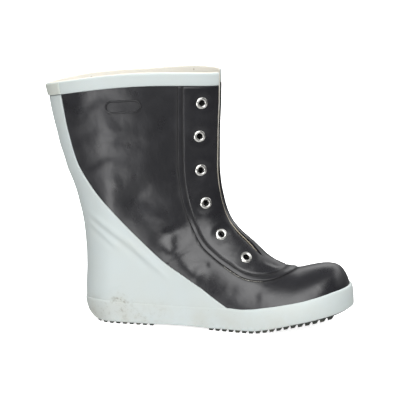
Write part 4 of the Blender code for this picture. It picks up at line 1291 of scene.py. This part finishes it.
def pad(name, form, z_low, z_high, inset, material, crown=0.0, edge=0.0004):
    """A slab within the foot's outline, between two lines over the floor."""
    rings = []
    for z_of, shares in ((z_low, (1.0, 0.8, 0.6, 0.4, 0.2, 0.0)),
                         (z_high, (0.0, 0.2, 0.4, 0.6, 0.8, 1.0))):
        ring, spine = outline(form, z_of, inset)
        rise = edge if z_of is z_low else -edge
        for t in shares:
            p = ring * t + spine * (1 - t)
            lift = crown * (1 - t * t)
            p[:, 2] = z_of(p[:, 0]) + lift
            if t == 1.0:
                rings.append(p + np.array([0, 0, rise]))
                inner, _ = outline(form, z_of, inset + edge)
                inner[:, 2] = z_of(inner[:, 0])
                rings.insert(len(rings) - (0 if z_of is z_low else 1), inner)
            else:
                rings.append(p)
    n = len(rings[0])
    verts = np.concatenate(rings) + SHIFT
    return mesh_piece(name, verts, grid_faces(len(rings), n, loop_columns=True), material, 50)


class BOOT_OT_outsole(PieceOperator, bpy.types.Operator):
    """Sole plate and its tread bars"""
    bl_idname = "boot.outsole"
    bl_label = "Outsole"

    def build(self, form, s, c):
        rubber = kept("tread_black", sole_rubber, c)
        plate = pad("sole_plate", form, lambda x: ground(form, x) + s.lug,
                    lambda x: ground(form, x) + s.lug + s.plate, 0.0002, rubber)
        settle(plate, "sole_rubber", "outsole")
        verts, faces = [], []
        for first, last, count, share in BARS:
            pitch = (last - first) / count
            for i in range(count):
                start = (first + pitch * i) * form.length
                self.bar(form, s, start, pitch * share * form.length, verts, faces)
        bars = mesh_piece("tread_bars", verts, faces, rubber, 50)
        settle(bars, "sole_rubber")

    def bar(self, form, s, start, width, verts, faces):
        """One bar across the foot, its corners and ends rounded."""
        profile = ((-0.25, 1.15), (0.10, 0.35), (0.22, 0.10), (0.55, 0.0))
        side = [(k * MM, h * s.lug if h > 1 else h * MM * 3) for k, h in profile]
        shape = [(start + k, h) for k, h in side]
        shape += [(start + width - k, h) for k, h in reversed(side)]
        columns = np.concatenate([[0, 0.004, 0.012], np.linspace(0.03, 0.97, 13),
                                  [0.988, 0.996, 1]])
        lift = np.array([0.8, 0.25, 0.05] + [0] * 13 + [0.05, 0.25, 0.8]) * MM
        first = len(verts)
        for t, up in zip(columns, lift):
            for x, h in shape:
                w = float(form.half_width(x, 0.006)) - 0.25 * MM
                y = float(form.middle(x, 0.0)) + w * (2 * t - 1)
                z = float(ground(form, x)) + max(h, min(up, s.lug))
                verts.append(np.array([x, y, z]) + SHIFT)
        m = len(shape)
        faces += grid_faces(len(columns), m, first, loop_columns=True)
        faces.append(tuple(first + j for j in range(m)))
        faces.append(tuple(first + (len(columns) - 1) * m + j for j in reversed(range(m))))


class BOOT_OT_insole(PieceOperator, bpy.types.Operator):
    """Felt insole"""
    bl_idname = "boot.insole"
    bl_label = "Insole"

    def build(self, form, s, c):
        def low(x):
            return ground(form, x) + s.lug + s.plate + s.gap

        piece = pad("insole_board", form, low, lambda x: low(x) + s.insole - 0.0006,
                    s.wall + s.gap, kept("felt_board", felt, c), 0.0006, 0.0007)
        settle(piece, "insole_felt", "insole")


class BOOT_OT_gusset(PieceOperator, bpy.types.Operator):
    """Folded gusset behind the throat"""
    bl_idname = "boot.gusset"
    bl_label = "Gusset"

    def build(self, form, s, c):
        fine = np.linspace(0, 15.5, 900)
        high = form.ends(fine)[1] / form.height
        rows = np.interp(np.linspace(-0.930, -0.275, 90), -high, fine)
        f = np.linspace(-1, 1, 41)
        fx, fz, bx, bz, _, roof, power = form.ends(rows)
        level = fz / form.height
        size = np.hypot(bx - fx, bz - fz)
        ax, az = (bx - fx) / size, (bz - fz) / size
        seam = read(GUSSET, level, 2) * form.ball
        px, pz = fx + ax * seam, fz + az * seam
        w = form.half_width(px, pz) * round_end(seam / roof, power) - s.wall - s.gap - 0.0016
        deep = read(GUSSET, level, 1) * form.ball + s.wall + s.gap
        t = deep[:, None] + (seam - deep)[:, None] * np.abs(f)[None, :] ** 1.5
        fold = 0.0007 * np.sin(f[None, :] * 15 + level[:, None] * 9) * (1 - np.abs(f)[None, :])
        t = t + 0.0005 + fold + 0.0005 * np.sin(level[:, None] * 60 + f[None, :] * 2) * (1 - f**2)
        x, z = fx[:, None] + ax[:, None] * t, fz[:, None] + az[:, None] * t
        y = form.middle(x, z) + (w[:, None] - 0.0003) * f[None, :]
        grid = np.stack([x, y, z], axis=-1) + SHIFT
        verts, faces = grid.reshape(-1, 3), grid_faces(len(rows), len(f))
        piece = mesh_piece("gusset_sheet", verts, faces, kept("satin_black", black_rubber, c))
        mod = piece.modifiers.new("thickness", "SOLIDIFY")
        mod.thickness = s.gusset
        mod.offset = 0
        settle(piece, "black_rubber", "tongue")


class BOOT_OT_badge(PieceOperator, bpy.types.Operator):
    """Blank oval frame on the outer side of the shaft"""
    bl_idname = "boot.badge"
    bl_label = "Blank frame"

    # In from the frame's outer edge and out from the form, in mm
    PROFILE = ((0.0, -0.15), (0.02, 0.45), (0.18, 0.85), (0.45, 1.12), (0.80, 1.22), (1.15, 1.12),
               (1.45, 0.85), (1.65, 0.55), (1.80, 0.42), (2.4, 0.40), (3.6, 0.42), (5.2, 0.44))

    def build(self, form, s, c):
        cx, cz = form.metres([BADGE_PLACE])[0]
        steps = 28
        rings = []
        for inward, out in self.PROFILE:
            radius = max(s.badge_radius - inward * MM, 0.0)
            ring = []
            for sign, start in ((1, -pi / 2), (-1, pi / 2)):
                for i in range(steps + 1):
                    a = start + pi * i / steps
                    x = sign * (s.badge_half - s.badge_radius) + radius * cos(a)
                    z = radius * sin(a)
                    x, z = (cx + x * cos(BADGE_TURN) - z * sin(BADGE_TURN),
                            cz + x * sin(BADGE_TURN) + z * cos(BADGE_TURN))
                    ring.append(form.at_side(x, z, -1, out * MM)[0])
            rings.append(ring)
        n = len(rings[0])
        faces = grid_faces(len(rings), n, loop_columns=True)
        last = (len(rings) - 1) * n
        faces.append(tuple(last + i for i in range(n)))
        piece = mesh_piece("badge_frame", [p for r in rings for p in r], faces,
                           kept("satin_black", black_rubber, c))
        outward(piece.data)

        # Painted shade in the two grooves round the frame, kept as the seam mark.
        def frame_groove_shade(co):
            inward = self.inward(form, s, co)
            return (np.exp(-(inward / (0.45 * MM)) ** 2)
                    + 0.8 * np.exp(-((inward - 1.75 * MM) / (0.40 * MM)) ** 2))

        mark(piece, "seam", frame_groove_shade)
        mod = piece.modifiers.new("thickness", "SOLIDIFY")
        mod.thickness = 0.0004
        mod.offset = -1
        settle(piece, "black_rubber", "badge")

    def inward(self, form, s, co):
        """How far each point lies in from the frame's outer edge."""
        cx, cz = form.metres([BADGE_PLACE])[0]
        x, z = co[:, 0] - cx, co[:, 2] - cz
        along = x * cos(BADGE_TURN) + z * sin(BADGE_TURN)
        up = z * cos(BADGE_TURN) - x * sin(BADGE_TURN)
        over = np.maximum(np.abs(along) - (s.badge_half - s.badge_radius), 0)
        return s.badge_radius - np.hypot(over, up)


class BOOT_OT_eyelets(PieceOperator, bpy.types.Operator):
    """Twelve turned nickel eyelets"""
    bl_idname = "boot.eyelets"
    bl_label = "Eyelets"

    def build(self, form, s, c):
        metal = kept("bright_nickel", nickel, c)
        hole, flange = s.eyelet_hole, s.eyelet_flange
        seat = -0.4 * MM
        deep = seat - (s.layer + s.border + s.gap + s.wall) - 0.6 * MM
        profile = ((hole, deep), (hole, seat + 0.25 * MM), (hole + 0.12 * MM, seat + 0.75 * MM),
                   (hole + 0.45 * MM, seat + 1.15 * MM), (hole + 1.0 * MM, seat + 1.42 * MM),
                   (hole + 1.6 * MM, seat + 1.45 * MM), (flange - 1.1 * MM, seat + 1.20 * MM),
                   (flange - 0.45 * MM, seat + 0.80 * MM), (flange - 0.08 * MM, seat + 0.35 * MM),
                   (flange, seat + 0.05 * MM), (flange - 0.1 * MM, seat - 0.15 * MM),
                   (hole + 0.45 * MM, seat - 0.15 * MM), (hole + 0.45 * MM, deep))
        steps = 48
        for side, number, point, look in seats(form, s):
            spin = look.to_track_quat("Z", "Y").to_matrix()
            verts = []
            for i in range(steps):
                a = 2 * pi * i / steps
                verts += [point + spin @ Vector((r * cos(a), r * sin(a), h)) for r, h in profile]
            faces = grid_faces(steps, len(profile), loop_rows=True, loop_columns=True)
            word = "lateral" if side < 0 else "medial"
            piece = mesh_piece(f"eyelet_{word}_{number}_ring", verts, faces, metal, 40)
            settle(piece, "eyelet_metal", f"eyelet_{word}_{number}")


class BOOT_OT_stage(bpy.types.Operator):
    """Pale floor, soft lights and the camera"""
    bl_idname = "boot.stage"
    bl_label = "Studio"
    bl_options = {"REGISTER", "UNDO"}

    AIM = Vector((0.0021, -0.0025, 0.1286))

    def execute(self, context):
        scene = context.scene
        stage, colours = scene.boot_stage, scene.boot_colours
        half = 25.0
        mesh = bpy.data.meshes.new("floor")
        mesh.from_pydata([(-half, -half, 0), (half, -half, 0), (half, half, 0), (-half, half, 0)],
                         [], [(0, 1, 2, 3)])
        floor = bpy.data.objects.new("floor", mesh)
        scene.collection.objects.link(floor)
        paint = Nodes("floor_paint")
        floor.data.materials.append(paint.set(base_color=tuple(colours.floor), roughness=0.9,
                                              specular_ior_level=0.1,
                                              emission_color=(1.0, 1.0, 1.0),
                                              emission_strength=stage.glow))
        floor.visible_glossy = False
        floor.visible_diffuse = False
        scene.world = self.studio(stage)
        self.soft_box(scene, "top_box", (0.05, 0.10, 1.9), (0, 0, 0.1), (2.6, 1.8), stage.top)
        self.soft_box(scene, "front_box", (-1.3, -2.0, 1.3), (0, 0, 0.12), (1.2, 1.2), stage.front)
        self.soft_box(scene, "fill_box", (2.4, -1.3, 0.9), (0, 0, 0.08), (1.4, 1.2), stage.fill)
        scene.view_settings.view_transform = "Standard"
        self.camera(scene, stage)
        return {"FINISHED"}

    def studio(self, stage):
        """Pale ceiling, floor and back wall, a low window front left and a tall one ahead."""
        world = bpy.data.worlds.new("studio")
        world.use_nodes = True
        tree = world.node_tree
        sky = tree.nodes["Background"]
        sky.inputs["Color"].default_value = (1, 1, 1, 1)

        def node(kind, values=(), **settings):
            made = tree.nodes.new("ShaderNode" + kind)
            for key, value in settings.items():
                setattr(made, key, value)
            for key, value in dict(values).items():
                made.inputs[key].default_value = value
            return made

        def ramp(value, lo, hi, to_hi=1.0):
            made = node("MapRange", {"From Min": lo, "From Max": hi, "To Max": to_hi},
                        interpolation_type="SMOOTHSTEP")
            tree.links.new(value, made.inputs["Value"])
            return made.outputs["Result"]

        def joined(how, *parts):
            whole = parts[0]
            for part in parts[1:]:
                made = node("Math", operation=how)
                tree.links.new(whole, made.inputs[0])
                tree.links.new(part, made.inputs[1])
                whole = made.outputs[0]
            return whole

        split = node("SeparateXYZ")
        tree.links.new(node("TexCoord").outputs["Generated"], split.inputs[0])
        along, deep, high = split.outputs
        front = ramp(deep, 0.0, -0.2)
        ceiling = ramp(high, 0.55, 0.95, stage.sky)
        floor = ramp(high, -0.12, -0.45, stage.floor_light)
        back = joined("MULTIPLY", ramp(deep, -0.1, 0.4, stage.back), ramp(high, 0.12, 0.62),
                      ramp(high, 0.90, 0.64))
        low = joined("MULTIPLY", front, ramp(along, -0.60, -0.40), ramp(along, -0.12, -0.28),
                     ramp(high, 0.00, -0.10, stage.window), ramp(high, -0.55, -0.36))
        tall = joined("MULTIPLY", front, ramp(along, -0.24, -0.10), ramp(along, 0.64, 0.34),
                      ramp(high, 0.08, 0.26), ramp(high, 0.90, 0.72, stage.high_window))
        light = joined("ADD", ceiling, floor, back, low, tall)
        dim = node("Math", {1: stage.dim}, operation="ADD")
        tree.links.new(light, dim.inputs[0])
        tree.links.new(dim.outputs[0], sky.inputs["Strength"])
        return world

    def soft_box(self, scene, name, place, aim, size, power):
        """A soft light that shows in no reflection."""
        light = bpy.data.lights.new(name, "AREA")
        light.shape = "RECTANGLE"
        light.size, light.size_y = size
        light.energy = power
        box = bpy.data.objects.new(name, light)
        box.location = place
        way = Vector(aim) - Vector(place)
        box.rotation_euler = way.to_track_quat("-Z", "Y").to_euler()
        box.visible_glossy = False
        scene.collection.objects.link(box)

    def camera(self, scene, stage):
        """The camera, turned round the boot, raised and rolled, aimed a little under its middle."""
        a, e, r = stage.azimuth, stage.elevation, stage.roll
        back = Vector((sin(a) * cos(e), -cos(a) * cos(e), sin(e)))
        right = Vector((cos(a), sin(a), 0))
        up = back.cross(right)
        right, up = right * cos(r) + up * sin(r), up * cos(r) - right * sin(r)
        data = bpy.data.cameras.new("camera")
        data.lens = stage.lens
        data.sensor_width = 36
        data.clip_end = 60
        camera = bpy.data.objects.new("camera", data)
        turn = Matrix((right, up, back)).transposed().to_4x4()
        camera.matrix_world = Matrix.Translation(self.AIM + back * stage.distance) @ turn
        scene.collection.objects.link(camera)
        scene.camera = camera


PIECES = (BOOT_OT_upper, BOOT_OT_heel_sheet, BOOT_OT_collar, BOOT_OT_facing, BOOT_OT_sole_strip,
          BOOT_OT_outsole, BOOT_OT_insole, BOOT_OT_gusset, BOOT_OT_badge, BOOT_OT_eyelets)


class BOOT_PT_panel(bpy.types.Panel):
    """Lists the boot's pieces, sizes and colours"""
    bl_idname = "BOOT_PT_panel"
    bl_label = "Rubber boot"
    bl_space_type = "VIEW_3D"
    bl_region_type = "UI"
    bl_category = "Boot"

    def draw(self, context):
        scene = context.scene
        for piece in PIECES:
            self.layout.operator(piece.bl_idname)
        self.layout.operator(BOOT_OT_stage.bl_idname)
        for title, group in (("Sizes", scene.boot_sizes), ("Colours", scene.boot_colours),
                             ("Stage", scene.boot_stage)):
            box = self.layout.box()
            box.label(text=title)
            for name in group.__annotations__:
                box.prop(group, name)


CLASSES = (BootSizes, BootColours, BootStage, *PIECES, BOOT_OT_stage, BOOT_PT_panel)


def register():
    for cls in CLASSES:
        bpy.utils.register_class(cls)
    bpy.types.Scene.boot_sizes = PointerProperty(type=BootSizes)
    bpy.types.Scene.boot_colours = PointerProperty(type=BootColours)
    bpy.types.Scene.boot_stage = PointerProperty(type=BootStage)


def unregister():
    del bpy.types.Scene.boot_stage
    del bpy.types.Scene.boot_colours
    del bpy.types.Scene.boot_sizes
    for cls in reversed(CLASSES):
        bpy.utils.unregister_class(cls)


def main():
    register()
    bpy.ops.boot.stage()
    bpy.ops.boot.upper()
    bpy.ops.boot.heel_sheet()
    bpy.ops.boot.collar()
    bpy.ops.boot.facing()
    bpy.ops.boot.sole_strip()
    bpy.ops.boot.outsole()
    bpy.ops.boot.insole()
    bpy.ops.boot.gusset()
    bpy.ops.boot.badge()
    bpy.ops.boot.eyelets()


if __name__ == "__main__":
    main()
